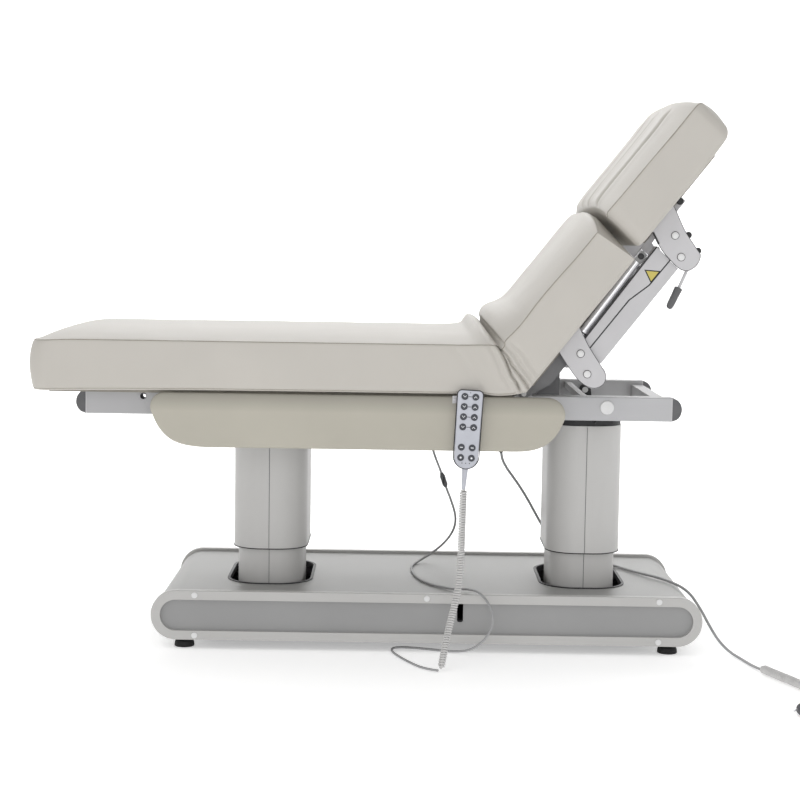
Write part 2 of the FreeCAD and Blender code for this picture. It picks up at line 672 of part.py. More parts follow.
# ---------------------------------------------------------------- head section
def head_board():
    return back_block(470, 740, 5, 15, -306, 306)


def head_cushion():
    side = [(450, 17), (442, 28), (440, 80), (452, 114), (466, 124), (771, 119), (796, 114), (812, 94),
            (806, 45), (786, 20), (770, 17)]
    slab = back_prism(side, -BED_HALF_WIDTH, BED_HALF_WIDTH)
    crown = [(480, 60), (780, 60), (776, 146), (484, 148)]
    middle = back_prism(crown, -BED_HALF_WIDTH + 70, BED_HALF_WIDTH - 70)
    return slab.fuse(middle).removeSplitter()


def head_side_plates():
    """Swept plates of the head section, with their tubes, bearers, hinge ears and lever pin."""
    points = [(500, 14), (489, -11), (478, -42), (472, -91), (480, -113, "arc"), (498, -121.5), (514, -121),
              (529, -114, "arc"), (534, -100), (543, -70), (552, -44), (575, 2), (580, 14)]
    plates = both_sides(back_prism(points, -PLATE_OUT, -PLATE_IN))
    ties = [back_pin(560, -8, 8, -PLATE_IN, PLATE_IN), back_pin(512, -108, 7, -PLATE_IN, PLATE_IN)]
    u, n = HEAD_HINGE
    pin = back_pin(u, n, HINGE_PIN, -TUBE_Y - 6, -299)
    ear = back_prism([(u, n - 9), (500, -8), (500, 4.5), (u, n + 9), (u - 9, n, "arc")], -305, -299)
    bearer = back_block(494, 612, -8, 4.5, -305, -285)
    ears = both_sides(joined([pin, ear, bearer]))
    u, n = LEVER_HUB
    lever_pin = back_pin(u, n, LEVER_PIN, -PLATE_IN, -TUBE_Y + 4)
    return group(plates + ties + ears + [lever_pin] + domed_screws([(527, -36.4), (496, -80.7)]))


def release_lever():
    """Bent rod with a tapered grip that frees the head section."""
    y = -TUBE_Y - 4
    top = at_back(*LEVER_HUB)
    bend = Vector(at_back(438, -126)[0], y, at_back(438, -126)[1])
    end = Vector(at_back(383, -139)[0], y, at_back(383, -139)[1])
    rod = cylinder(4, (top[0], y, top[1]), tuple(bend))
    knuckle = Part.makeSphere(4, bend)
    along = end - bend
    length = along.Length - 8
    grip = Part.makeCone(11.5, 8.5, length, bend, along)
    nose = Part.makeSphere(8.45, bend + along * (length / along.Length))
    hub = cylinder(8, (top[0], y - 6, top[1]), (top[0], y + 6, top[1]))
    hub = hub.cut(cylinder(LEVER_PIN + RUNNING_FIT, (top[0], y - 7, top[1]), (top[0], y + 7, top[1])))
    return joined([rod.cut(cylinder(6, (top[0], y - 7, top[1]), (top[0], y + 7, top[1]))),
                   knuckle, grip, nose, hub])


# ---------------------------------------------------------------- handset
def handset_place(shape):
    """From the handset's own frame (x across, z up from its middle, y 0 at its back) to the bed."""
    shape = shape.copy()
    shape.rotate(Vector(0, 0, 0), Vector(0, 1, 0), HANDSET_LEAN)
    shape.translate(Vector(HANDSET_MIDDLE[0], HANDSET_BACK, HANDSET_MIDDLE[1]))
    return shape


def handset_key_places():
    """Key centres in the handset's own frame: six rows of two."""
    top = HANDSET_SIZE[1] / 2
    return [(s * KEY_COLUMN, top - row) for row in KEY_ROWS for s in (-1, 1)]


def handset_shell():
    """Flat case with a round lower end, wells for the keys and a slot in its back for the peg."""
    w = HANDSET_SIZE[0] / 2
    h = HANDSET_SIZE[1] / 2
    r = 11.0
    c = r * (1 - math.sqrt(0.5))
    low = w - 2
    points = [(-w, h - r), (-w + c, h - c, "arc"), (-w + r, h), (w - r, h), (w - c, h - c, "arc"),
              (w, h - r), (low, -h + low), (0, -h, "arc"), (-low, -h + low)]
    shell = prism(points, -HANDSET_SIZE[2], 0)
    front = -HANDSET_SIZE[2]
    edges = [e for e in shell.Edges if e.CenterOfMass.y > -0.01 or e.CenterOfMass.y < front + 0.01]
    shell = shell.makeFillet(3.0, edges)
    for x, z in handset_key_places():
        shell = shell.cut(cylinder(KEY_RADIUS + 0.4, (x, front - 1, z), (x, front + 5, z)))
    shell = shell.cut(box(-6, 6, -5, 1, 36, 75))
    return handset_place(shell)


def handset_key(x, z):
    front = -HANDSET_SIZE[2]
    cap = cylinder(KEY_RADIUS, (x, front + 3.2, z), (x, front - 1.6, z))
    rim = [e for e in cap.Edges if abs(e.CenterOfMass.y - front + 1.6) < 0.01]
    return handset_place(cap.makeFillet(1.0, rim))


def handset_relief():
    """Tapered boot where the curly cord enters the handset."""
    start = Vector(209, -410, 479)
    end = Vector(*HANDSET_COIL[-1])
    along = end - start
    return Part.makeCone(7.5, 4.5, along.Length - 0.3, start, along)


# ---------------------------------------------------------------- cords
def inline_connector():
    """Plug and socket joint in the handset's lead, under the seat."""
    a = Vector(*HANDSET_CORD[3])
    b = Vector(*HANDSET_CORD[4])
    along = b - a
    unit = Vector(along)
    unit.normalize()
    body = Part.makeCylinder(7, 40, a + unit * 4, unit)
    cord = Part.makeCylinder(HANDSET_CORD_RADIUS + 0.1, 60, a - unit * 6, unit)
    return body.cut(cord)


def mains_plug():
    """Moulded two-pin mains plug lying at the end of the curly lead."""
    a = Vector(*MAINS_TAIL[-2])
    b = Vector(*MAINS_TAIL[-1])
    unit = Vector(b.x - a.x, b.y - a.y, 0)
    unit.normalize()
    start = Vector(b.x, b.y, 14)
    side = Vector(-unit.y, unit.x, 0)
    boot = Part.makeCone(4.5, 8, 26, Vector(b.x, b.y, b.z), unit + Vector(0, 0, 0.28))
    body = Part.makeCylinder(14, 34, start + unit * 22, unit)
    pins = [Part.makeCylinder(2.4, 21, start + unit * 54 + side * s * 9.5, unit) for s in (-1, 1)]
    return joined([boot, body] + pins)


def main():
    save("base_cover", base_cover())
    save("base_front_ring", base_ring(True))
    save("base_rear_ring", base_ring(False))
    save("base_panels", base_panels())
    save("base_chassis", base_chassis())
    save("ring_screws", ring_screws())
    save("opening_trims", opening_trims())
    save("lift_column_bodies", lift_column_bodies())
    for corner, (x, y) in zip(("foot_near", "foot_far", "head_near", "head_far"), foot_places()):
        save("levelling_foot_" + corner, levelling_foot(x, y))
    for end in ("foot", "head"):
        save("%s_lower_cover" % end, lower_cover(COLUMN_X[end]))
        save("%s_upper_cover" % end, upper_cover(COLUMN_X[end]))
    save("foot_lift_inner", lift_inner(COLUMN_X["foot"], COLUMN_X["foot"], FOLLOW_AXIS_Z))
    save("head_lift_inner", lift_inner(COLUMN_X["head"], TILT_AXIS[0], TILT_AXIS[1]))
    save("head_column_cap", column_cap(COLUMN_X["head"]))

    save("side_rails", group(both_sides(rail())))
    save("rail_end_caps", rail_end_caps())
    save("cross_beams", cross_beams())
    save("pivot_pins", pivot_pins())
    save("seat_deck", seat_deck())
    save("seat_cushion", seat_cushion())
    save("side_skirts", group(both_sides(skirt())))
    save("control_box", control_box())
    save("back_actuator_body", back_actuator_body())
    save("back_actuator_rod", back_actuator_rod())
    save("handset_hook", handset_hook())

    save("back_board", back_board())
    save("back_frame", back_frame())
    save("back_cushion", back_cushion())
    save("back_side_plates", back_side_plates())
    save("side_tubes", side_tubes())
    save("upper_arm_shells", upper_arm_shells())
    save("lower_arm_shells", lower_arm_shells())

    save("head_board", head_board())
    save("head_cushion", head_cushion())
    save("head_side_plates", head_side_plates())
    save("release_lever", release_lever())

    save("handset_shell", group([handset_shell(), handset_relief()]))
    for number, (x, z) in enumerate(handset_key_places(), 1):
        save("handset_key_%02d" % number, handset_key(x, z))

    save("handset_cord", route_tube("handset_cord", HANDSET_CORD, HANDSET_CORD_RADIUS))
    save("handset_cord_coil", route_tube("handset_cord_coil", HANDSET_COIL, HANDSET_COIL_RADIUS))
    save("inline_connector", inline_connector())
    save("mains_cord", route_tube("mains_cord", MAINS_CORD, MAINS_CORD_RADIUS))
    save("mains_cord_coil", route_tube("mains_cord_coil", MAINS_COIL, MAINS_COIL_RADIUS))
    save("mains_plug", mains_plug())


main()
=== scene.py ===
"""Facial treatment bed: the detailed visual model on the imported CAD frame, with studio light and camera."""
import bmesh
import bpy
import math
from mathutils import Matrix, Vector, noise


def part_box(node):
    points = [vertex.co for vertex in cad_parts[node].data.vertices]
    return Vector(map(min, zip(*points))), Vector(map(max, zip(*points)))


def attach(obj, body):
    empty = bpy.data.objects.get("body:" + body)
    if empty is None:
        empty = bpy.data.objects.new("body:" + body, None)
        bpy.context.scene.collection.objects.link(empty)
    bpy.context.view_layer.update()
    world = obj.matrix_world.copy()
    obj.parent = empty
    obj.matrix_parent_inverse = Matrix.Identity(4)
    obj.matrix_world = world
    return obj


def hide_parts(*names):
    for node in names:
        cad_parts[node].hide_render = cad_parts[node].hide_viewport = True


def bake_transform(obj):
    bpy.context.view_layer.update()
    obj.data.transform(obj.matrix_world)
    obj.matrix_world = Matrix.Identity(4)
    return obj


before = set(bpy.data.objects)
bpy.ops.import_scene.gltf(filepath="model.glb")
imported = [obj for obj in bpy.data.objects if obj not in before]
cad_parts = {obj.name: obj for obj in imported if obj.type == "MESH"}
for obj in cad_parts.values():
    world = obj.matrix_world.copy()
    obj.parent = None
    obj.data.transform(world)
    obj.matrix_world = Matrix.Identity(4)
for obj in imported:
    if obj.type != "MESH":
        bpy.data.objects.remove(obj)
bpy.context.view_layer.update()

# -------------------- driving dimensions, mm
HINGE = (354.0, 651.0)               # x, z of the back's hinge
BACK_ANGLE = math.radians(52.0)
BACK_ALONG = (math.cos(BACK_ANGLE), math.sin(BACK_ANGLE))
MATTRESS_HALF_WIDTH = 397.0
MATTRESS_BOTTOM = 657.5
SEAM_Z = 776.0
SEAT_CROWN = 24.0
FOOT_END = -836.0
FOOT_RADIUS = 42.0                   # of the mattress's two foot corners, seen from above
CHANNELS = (70.0, 245.0)             # y of the head cushion's sewn channels
NEARWARD = Vector((0, -1, 0))
SEAM_RADIUS = 1.1
SEAM_OUT = -1.0                      # from the side's flat face
HEM_RADIUS = 0.8
HEM_OUT = -1.2
HEM_LEVEL = 0.04                     # share of the side's height
SKIRT_BACK = -384.0                  # y of the near skirt's back face
RAIL_JOINTS = (-724, 721)            # x of the joint lines near the rails' ends
ACCESSORY_HOLE = (-583, 631)         # x, z
RAIL_FACE = 287.5                    # distance of the linings' inner end from the bed's middle
STRAP_FACE = -330.0                  # y of the near head hinge strap's inner face
THREAD_PITCH = 1.4                   # of the levelling feet's studs
COVER_CORNER = 76.0                  # radius of the column covers' corners
PLATE_FACE = -350.0                  # y of the near side plates' outer face
ARM_FACE = -341.0                    # y of the near arm's outer face
LEVER_Y = -330.0                     # y of the release lever's rod
LEVER_ROD = 0.008                    # its diameter in metres
TUBE_Y = 326.0                       # distance of each bright tube's axis from the bed's middle
HEAD_ENDS = (447.0, 802.0)           # of the head cushion, along the back
HEAD_CORNER = 30.0
BACK_CORNER = 14.0
HEAD_HINGE = (438.0, -6.0)           # of the pin between back and head section, along and square to the back

# cords: diameters, windings (radius, pitch) and steps in metres, routes in mm
HANDSET_LEAD = 0.006
HANDSET_CURL = 0.0054
HANDSET_WINDING = (0.0064, 0.0062)
MAINS_LEAD = 0.007
MAINS_CURL = 0.0066
MAINS_WINDING = (0.0077, 0.0082)
LEAD_STEP = 0.006
CURL_AXIS_STEP = 0.002
CURLS_PARTED_AT = 0.24               # height at which the curly lead is made as two pieces
HANDSET_CORD = [
    (136, 0, 484), (142, 0, 463), (151, 0, 440), (161, 0, 416), (175, 2, 374), (193, 28, 328),
    (206, 74, 282), (202, 118, 240), (180, 152, 200), (144, 170, 166), (108, 156, 146),
    (88, 96, 145.5), (87, 18, 145.5), (98, -62, 145.5), (119, -135, 145.5), (154, -190, 145.5),
    (196, -232, 147), (228, -276, 158), (256, -322, 158), (280, -356, 132), (288, -372, 92),
    (268, -364, 48), (232, -334, 14), (188, -302, 4), (130, -280, 4), (72, -262, 4), (44, -268, 4),
    (36, -296, 4), (50, -346, 4), (82, -420, 4), (118, -482, 4), (150, -504, 6),
]
HANDSET_COIL = [
    (157, -496, 10), (164, -478, 42), (174, -452, 92), (188, -428, 142), (199, -416, 196),
    (203, -411, 262), (204, -410, 345), (206, -410, 428),
]
HANDSET_CURL_END = [(207.2, -410, 436), (207.8, -410, 446)]
MAINS_CORD = [
    (318, 0, 484), (319, 1, 456), (336, 20, 424), (364, 50, 386), (394, 86, 340), (424, 126, 286),
    (454, 162, 234), (504, 204, 180), (560, 214, 150), (606, 184, 146.5), (642, 130, 146.5),
    (688, 38, 146.5), (744, -66, 151), (798, -140, 138), (826, -184, 96), (844, -210, 60),
    (864, -236, 26), (886, -272, 6), (904, -338, 4), (918, -408, 4), (927, -448, 7),
]
MAINS_COIL = [
    (929, -458, 11.5), (948, -510, 11.5), (972, -566, 11.5), (994, -622, 11.5), (1004, -676, 11.5),
    (996, -728, 11.5),
]
MAINS_TAIL = [(993, -738, 10), (984, -766, 5), (968, -790, 5)]

HANDSET_MIDDLE = (214.0, 573.0)      # x, z
HANDSET_SIZE = (62.0, 190.0, 17.0)   # width, height, thickness
HANDSET_BACK = -401.5                # y of its back
HANDSET_LEAN = math.radians(3.0)
JOINT_LINE_RADIUS = 0.0012           # metres
JOINT_LINE_DEPTH = 1.5               # of the dark line round the handset, behind its front
KEY_COLUMN = 13.0                    # distance of the key columns from the handset's middle
KEY_ROWS = (15.5, 40.0, 64.5, 89.0, 138.0, 163.0)   # below the handset's top
ARROW_ROWS = 4                       # key rows with arrows; the next has bars, the last has dots
KEY_STAND = 1.6                      # how far a key stands out of the handset

CAMERA_PLACE = (0.050, -4.555, 1.023)   # metres
CAMERA_LENS = 78.165
CAMERA_PITCH = math.radians(84.74)
CAMERA_ROLL = 0.015


# -------------------- helpers
def metres(points):
    """Points in mm as vectors in metres."""
    return [Vector(p) * 0.001 for p in points]


def at_back(u, n):
    """x, z in mm of a point along (u) and square to (n) the raised back section."""
    c, s = BACK_ALONG
    return (HINGE[0] + u * c - n * s, HINGE[1] + u * s + n * c)


def on_back(u, y, n):
    """The point in mm at y that lies along (u) and square to (n) the raised back section."""
    x, z = at_back(u, n)
    return Vector((x, y, z))


def step(low, high, value):
    """A smooth rise from 0 to 1 as a value goes from low to high."""
    t = min(1.0, max(0.0, (value - low) / (high - low)))
    return t * t * (3 - 2 * t)


def bump(middle, width, value):
    """A soft hump of height 1 about a middle."""
    return math.exp(-((value - middle) / width) ** 2)


def spline(points, per_span):
    """Catmull-Rom samples through points, ends included."""
    points = [Vector(p) for p in points]
    padded = [2 * points[0] - points[1]] + points + [2 * points[-1] - points[-2]]
    found = []
    for a, b, c, d in zip(padded, padded[1:], padded[2:], padded[3:]):
        for k in range(per_span):
            t = k / per_span
            found.append(0.5 * (2 * b + (c - a) * t + (2 * a - 5 * b + 4 * c - d) * t ** 2
                                + (3 * b - a - 3 * c + d) * t ** 3))
    return found + [points[-1]]


def added(name, data):
    """A new object in the scene that holds a mesh, curve, lamp or camera."""
    piece = bpy.data.objects.new(name, data)
    bpy.context.scene.collection.objects.link(piece)
    return piece


def new_object(name, points, faces, smooth_angle=40):
    mesh = bpy.data.meshes.new(name)
    mesh.from_pydata([tuple(p) for p in points], [], faces)
    mesh.validate()
    piece = added(name, mesh)
    tidy(piece, smooth_angle)
    return piece


def tidy(piece, smooth_angle=40):
    """Weld doubles, face outwards, and smooth all but the sharp edges."""
    work = bmesh.new()
    work.from_mesh(piece.data)
    bmesh.ops.remove_doubles(work, verts=work.verts, dist=0.000005)
    bmesh.ops.recalc_face_normals(work, faces=work.faces)
    for face in work.faces:
        face.smooth = True
    work.to_mesh(piece.data)
    work.free()
    piece.data.set_sharp_from_angle(angle=math.radians(smooth_angle))


def dress(piece, material, body=None):
    """Give a piece its finish and the body it rides."""
    piece.data.materials.clear()
    piece.data.materials.append(material)
    if body:
        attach(piece, body)
    return piece


def soften(piece, width, segments=2, angle=35):
    """Bevel a piece's sharp edges, applied."""
    work = bmesh.new()
    work.from_mesh(piece.data)
    limit = math.radians(angle)
    edges = [e for e in work.edges if len(e.link_faces) == 2 and e.calc_face_angle(0) > limit]
    bmesh.ops.bevel(work, geom=edges, offset=width, segments=segments, profile=0.5, affect="EDGES",
                    clamp_overlap=True)
    work.to_mesh(piece.data)
    work.free()
    tidy(piece)
    return piece


def arc(x, y, radius, start, end, steps):
    """Points of an arc about x, y, from one angle in degrees to another."""
    turns = [math.radians(start + (end - start) * k / steps) for k in range(steps + 1)]
    return [(x + radius * math.cos(turn), y + radius * math.sin(turn)) for turn in turns]


def frames_along(path):
    """A turning-free pair of side directions at each point of a path."""
    tangents = []
    for i in range(len(path)):
        tangents.append((path[min(i + 1, len(path) - 1)] - path[max(i - 1, 0)]).normalized())
    side = tangents[0].orthogonal().normalized()
    frames = []
    for tangent in tangents:
        side = (side - tangent * side.dot(tangent)).normalized()
        frames.append((side, tangent.cross(side)))
    return frames


def bands(rows, count):
    """Quads between closed rows of points, row after row."""
    faces = []
    for first in range(0, (rows - 1) * count, count):
        for k in range(count):
            n = (k + 1) % count
            faces.append((first + k, first + n, first + count + n, first + count + k))
    return faces


def lids(rows, count):
    """The faces that close the first and the last of several closed rows."""
    last = (rows - 1) * count
    return [tuple(reversed(range(count))), tuple(range(last, last + count))]


def circle(centre, a, b, radius, sides):
    """Points round a centre, in the plane of two side directions."""
    turns = [2 * math.pi * k / sides for k in range(sides)]
    return [centre + radius * (math.cos(turn) * a + math.sin(turn) * b) for turn in turns]


def tube(name, path, radius, sides=10):
    """A round tube of quads along a path."""
    points = []
    for centre, (a, b) in zip(path, frames_along(path)):
        points += circle(centre, a, b, radius, sides)
    return new_object(name, points, bands(len(path), sides) + lids(len(path), sides), 60)


def turned(name, start, end, profile, sides=32, ring=False):
    """A round piece turned about the line from start to end; profile is (distance along, radius).

    A ring's profile goes right round, so it closes on itself and leaves the middle open.
    """
    profile = profile + profile[:1] if ring else profile
    start = Vector(start)
    along = (Vector(end) - start).normalized()
    a = along.orthogonal().normalized()
    b = along.cross(a)
    points = []
    for distance, radius in profile:
        points += circle(start + along * distance, a, b, radius, sides)
    faces = bands(len(profile), sides)
    if not ring:
        faces += lids(len(profile), sides)
    return new_object(name, metres(points), faces, 32)


def prism(name, points):
    """A piece between two equal outlines; the points (mm) are one outline's, then the other's."""
    count = len(points) // 2
    return new_object(name, metres(points), lids(2, count) + bands(2, count))


def plate(name, outline, y0, y1, round_edge=1.0):
    """A plate cut to an XZ outline (mm) with softened edges."""
    piece = prism(name, [(x, y, z) for y in (y0, y1) for x, z in outline])
    if round_edge:
        soften(piece, round_edge * 0.001, 2, 50)
    return piece


def block(name, low, high, round_edge=1.0):
    """A box between two corners (mm) with softened edges."""
    outline = [(low[0], low[2]), (high[0], low[2]), (high[0], high[2]), (low[0], high[2])]
    return plate(name, outline, low[1], high[1], round_edge)


def merged(name, pieces):
    """Several pieces as one object."""
    work = bmesh.new()
    for piece in pieces:
        work.from_mesh(piece.data)
    mesh = bpy.data.meshes.new(name)
    work.to_mesh(mesh)
    work.free()
    for piece in pieces:
        bpy.data.objects.remove(piece)
    joined = added(name, mesh)
    joined.data.set_sharp_from_angle(angle=math.radians(40))
    return joined


def mirrored(name, piece):
    """A copy of a piece on the other side of the bed."""
    mesh = piece.data.copy()
    mesh.transform(Matrix.Scale(-1, 4, Vector((0, 1, 0))))
    mesh.flip_normals()
    return added(name, mesh)


# -------------------- finishes
def linear(rgb, gain):
    """A shader colour from a screen colour of 0 to 255, made lighter or darker."""
    values = []
    for channel in rgb:
        c = channel / 255
        c = c / 12.92 if c <= 0.04045 else ((c + 0.055) / 1.055) ** 2.4
        values.append(min(1.0, c * gain))
    return tuple(values) + (1.0,)


def add_node(tree, kind, **values):
    """A new shader node with some inputs set; an underscore stands for the space in an input's name."""
    node = tree.nodes.new(kind)
    for name, value in values.items():
        node.inputs[name.replace("_", " ")].default_value = value
    return node


def finish(name, rgb, roughness, vary, patch, grain, grain_size, metallic=0.0, pebbled=False,
           stretch=(1, 1, 1)):
    """A procedural finish: cloudy colour between two close shades, and a fine grain in relief."""
    material = bpy.data.materials.new(name + "_finish")
    material.use_nodes = True
    tree = material.node_tree
    join = tree.links.new
    shader = tree.nodes["Principled BSDF"]
    shader.inputs["Roughness"].default_value = roughness
    shader.inputs["Metallic"].default_value = metallic
    place = add_node(tree, "ShaderNodeTexCoord")
    scale = add_node(tree, "ShaderNodeMapping", Scale=stretch)
    join(place.outputs["Object"], scale.inputs["Vector"])
    cloud = add_node(tree, "ShaderNodeTexNoise", Scale=1 / patch, Detail=5)
    join(scale.outputs["Vector"], cloud.inputs["Vector"])
    ramp = add_node(tree, "ShaderNodeValToRGB")
    for element, position, gain in zip(ramp.color_ramp.elements, (0.3, 0.7), (1 - vary, 1 + vary)):
        element.position = position
        element.color = linear(rgb, gain)
    join(cloud.outputs["Fac"], ramp.inputs["Fac"])
    join(ramp.outputs["Color"], shader.inputs["Base Color"])
    relief = add_node(tree, "ShaderNodeBump", Strength=grain, Distance=0.0005)
    kind = "ShaderNodeTexVoronoi" if pebbled else "ShaderNodeTexNoise"
    fine = add_node(tree, kind, Scale=1 / grain_size)
    join(scale.outputs["Vector"], fine.inputs["Vector"])
    join(fine.outputs["Distance" if pebbled else "Fac"], relief.inputs["Height"])
    join(relief.outputs["Normal"], shader.inputs["Normal"])
    return material


def shaded_top(material, low, high, darkest):
    """Darken a finish towards the top of its piece, between two heights in metres: painted shade."""
    tree = material.node_tree
    join = tree.links.new
    shader = tree.nodes["Principled BSDF"]
    base = shader.inputs["Base Color"].links[0].from_socket
    place = add_node(tree, "ShaderNodeTexCoord")
    split = add_node(tree, "ShaderNodeSeparateXYZ")
    join(place.outputs["Object"], split.inputs["Vector"])
    fade = add_node(tree, "ShaderNodeMapRange", From_Min=low, From_Max=high, To_Min=1.0, To_Max=darkest)
    join(split.outputs["Z"], fade.inputs["Value"])
    mix = add_node(tree, "ShaderNodeVectorMath")
    mix.operation = "MULTIPLY"
    join(base, mix.inputs[0])
    join(fade.outputs["Result"], mix.inputs[1])
    join(mix.outputs["Vector"], shader.inputs["Base Color"])
    return material


UPHOLSTERY = finish("upholstery", (191, 187, 180), 0.5, 0.03, 0.25, 0.25, 0.0011, pebbled=True)
SEAM = finish("seam", (150, 145, 134), 0.7, 0.1, 0.01, 0.3, 0.0006)
# The skirt's top is darkened with painted shadow, where the mattress's overhanging edge shades it.
SKIRT = shaded_top(finish("skirt", (178, 174, 162), 0.55, 0.03, 0.2, 0.25, 0.0011, pebbled=True),
                   0.606, 0.650, 0.6)
PAINT = finish("painted_shell", (199, 198, 196), 0.42, 0.03, 0.3, 0.08, 0.0009)
BASE_TOP = finish("base_cover", (152, 152, 150), 0.42, 0.03, 0.3, 0.08, 0.0009)
RING = finish("base_ring", (186, 185, 183), 0.42, 0.03, 0.3, 0.08, 0.0009)
PANEL = finish("recessed_panel", (150, 150, 150), 0.5, 0.04, 0.3, 0.1, 0.0009)
GUSSET = finish("gusset", (112, 112, 114), 0.42, 0.08, 0.1, 0.1, 0.0008)
DARK_STEEL = finish("dark_steel", (58, 58, 60), 0.45, 0.15, 0.05, 0.12, 0.0008)
GREY_STEEL = finish("grey_steel", (182, 182, 184), 0.38, 0.04, 0.2, 0.08, 0.0009)
PALE_PLASTIC = finish("pale_plastic", (194, 193, 195), 0.4, 0.03, 0.1, 0.06, 0.0006)
WHITE_CAP = finish("white_cap", (220, 220, 220), 0.35, 0.03, 0.03, 0.05, 0.0004)
BACKING = finish("backing", (150, 146, 138), 0.8, 0.1, 0.03, 0.3, 0.0012)
BLACK_PLASTIC = finish("black_plastic", (34, 34, 36), 0.5, 0.2, 0.03, 0.15, 0.0005)
GREY_PLASTIC = finish("grey_plastic", (92, 92, 94), 0.5, 0.12, 0.03, 0.12, 0.0005)
RUBBER = finish("rubber", (26, 26, 27), 0.75, 0.2, 0.02, 0.2, 0.0007)
BRIGHT = finish("bright_steel", (222, 222, 225), 0.28, 0.04, 0.02, 0.03, 0.0004, 0.7,
                stretch=(0.2, 1, 0.2))
SILVER = finish("silver_plastic", (184, 186, 194), 0.36, 0.04, 0.03, 0.06, 0.0004, 0.15)
KEY = finish("key_plastic", (62, 64, 70), 0.5, 0.1, 0.01, 0.1, 0.0004)
PRINT = finish("white_print", (232, 233, 236), 0.5, 0.03, 0.004, 0.05, 0.0004)
SHEATH = finish("cord_sheath", (160, 160, 161), 0.5, 0.08, 0.03, 0.15, 0.0006)
CURL = finish("curl_sheath", (202, 201, 200), 0.45, 0.06, 0.02, 0.12, 0.0006)
YELLOW = finish("warning_yellow", (198, 183, 92), 0.45, 0.05, 0.004, 0.05, 0.0004)

NODE_FINISHES = (
    (BASE_TOP, "painted_shell", "base_cover"),
    (RING, "painted_shell", "base_front_ring base_rear_ring"),
    (PANEL, "recessed_panel", "base_panels"),
    (PAINT, "painted_shell", "foot_lower_cover head_lower_cover foot_upper_cover head_upper_cover"),
    (DARK_STEEL, "dark_steel", "base_chassis lift_column_bodies back_actuator_body"),
    (GUSSET, "dark_steel", "back_frame"),
    (GREY_STEEL, "grey_steel", "side_rails cross_beams"),
    (BRIGHT, "bright_steel", "back_actuator_rod side_tubes"),
    (BLACK_PLASTIC, "black_plastic", "opening_trims head_column_cap control_box"),
    (BLACK_PLASTIC, "black_plastic", "foot_lift_inner head_lift_inner"),
    (GREY_PLASTIC, "black_plastic", "rail_end_caps"),
    (WHITE_CAP, "pale_plastic", "ring_screws pivot_pins"),
    (PALE_PLASTIC, "pale_plastic", "handset_hook back_side_plates head_side_plates"),
    (PALE_PLASTIC, "pale_plastic", "upper_arm_shells lower_arm_shells"),
    (BACKING, "board", "seat_deck back_board head_board"),
    (SILVER, "silver_plastic", "handset_shell"),
    (KEY, "key_plastic", " ".join(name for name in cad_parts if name.startswith("handset_key"))),
)


def dress_cad_nodes():
    """Finishes on the CAD pieces that show as they are."""
    for material, slot, names in NODE_FINISHES:
        for name in names.split():
            dress(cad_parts[name], material)


# -------------------- camera
def place_camera():
    data = bpy.data.cameras.new("camera")
    data.lens = CAMERA_LENS
    data.sensor_width = 36
    camera = added("camera", data)
    camera.matrix_world = (Matrix.Translation(CAMERA_PLACE) @ Matrix.Rotation(CAMERA_PITCH, 4, "X")
                           @ Matrix.Rotation(CAMERA_ROLL, 4, "Z"))
    bpy.context.scene.camera = camera
    bpy.context.view_layer.update()


# -------------------- cords
def smooth_route(points):
    """Points of the smooth curve that a NURBS makes of a route, in metres."""
    curve = bpy.data.curves.new("route", "CURVE")
    curve.dimensions = "3D"
    curve.resolution_u = 10
    line = curve.splines.new("NURBS")
    line.points.add(len(points) - 1)
    for control, point in zip(line.points, metres(points)):
        control.co = (*point, 1)
    line.order_u = 3
    line.use_endpoint_u = True
    holder = added("route", curve)
    mesh = bpy.data.meshes.new_from_object(holder)
    path = [v.co.copy() for v in mesh.vertices]
    bpy.data.objects.remove(holder)
    return [p for k, p in enumerate(path) if k == 0 or (p - path[k - 1]).length > 1e-6]


def run_length(path):
    return sum((b - a).length for a, b in zip(path, path[1:]))


def even_steps(path, gap):
    """The same line with points at an even gap."""
    total = run_length(path)
    count = max(2, round(total / gap))
    found = [path[0].copy()]
    travelled = 0.0
    index = 1
    for a, b in zip(path, path[1:]):
        length = (b - a).length
        while index < count and travelled + length >= total * index / count:
            found.append(a.lerp(b, (total * index / count - travelled) / length))
            index += 1
        travelled += length
    return found + [path[-1].copy()]


def curled(axis, radius, pitch, per_turn=14):
    """A helix about an axis line, closing onto the line at both ends."""
    steps = even_steps(axis, pitch / per_turn)
    points = []
    for k, (centre, (a, b)) in enumerate(zip(steps, frames_along(steps))):
        grow = min(1.0, k / per_turn, (len(steps) - 1 - k) / per_turn)
        turn = 2 * math.pi * k / per_turn
        points.append(centre + radius * grow * (math.cos(turn) * a + math.sin(turn) * b))
    return points


def handset_lead():
    """The handset's straight lead, from the control box over the base to the floor."""
    path = even_steps(smooth_route(HANDSET_CORD), LEAD_STEP)
    lead = tube("handset_lead", path, HANDSET_LEAD / 2)
    dress(lead, SHEATH)
    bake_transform(lead)
    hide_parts("handset_cord")


def handset_curls():
    """The curly lead, made as a lower and an upper piece that part at a given height."""
    axis = even_steps(smooth_route(HANDSET_COIL), CURL_AXIS_STEP)
    path = curled(axis, *HANDSET_WINDING)
    share = next(k for k, p in enumerate(path) if p.z > CURLS_PARTED_AT)
    low = path[:share + 1]
    high = path[share:] + metres(HANDSET_CURL_END)
    lower = tube("handset_curl_lower", low, HANDSET_CURL / 2, 8)
    dress(lower, CURL)
    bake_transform(lower)
    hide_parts("handset_cord_coil")
    upper = tube("handset_curl_upper", high, HANDSET_CURL / 2, 8)
    dress(upper, CURL)
    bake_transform(upper)


def mains_lead():
    """The mains lead's straight stretch, from the control box over the base to the floor."""
    path = even_steps(smooth_route(MAINS_CORD), LEAD_STEP)
    lead = tube("mains_lead", path, MAINS_LEAD / 2)
    dress(lead, SHEATH)
    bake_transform(lead)
    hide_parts("mains_cord")


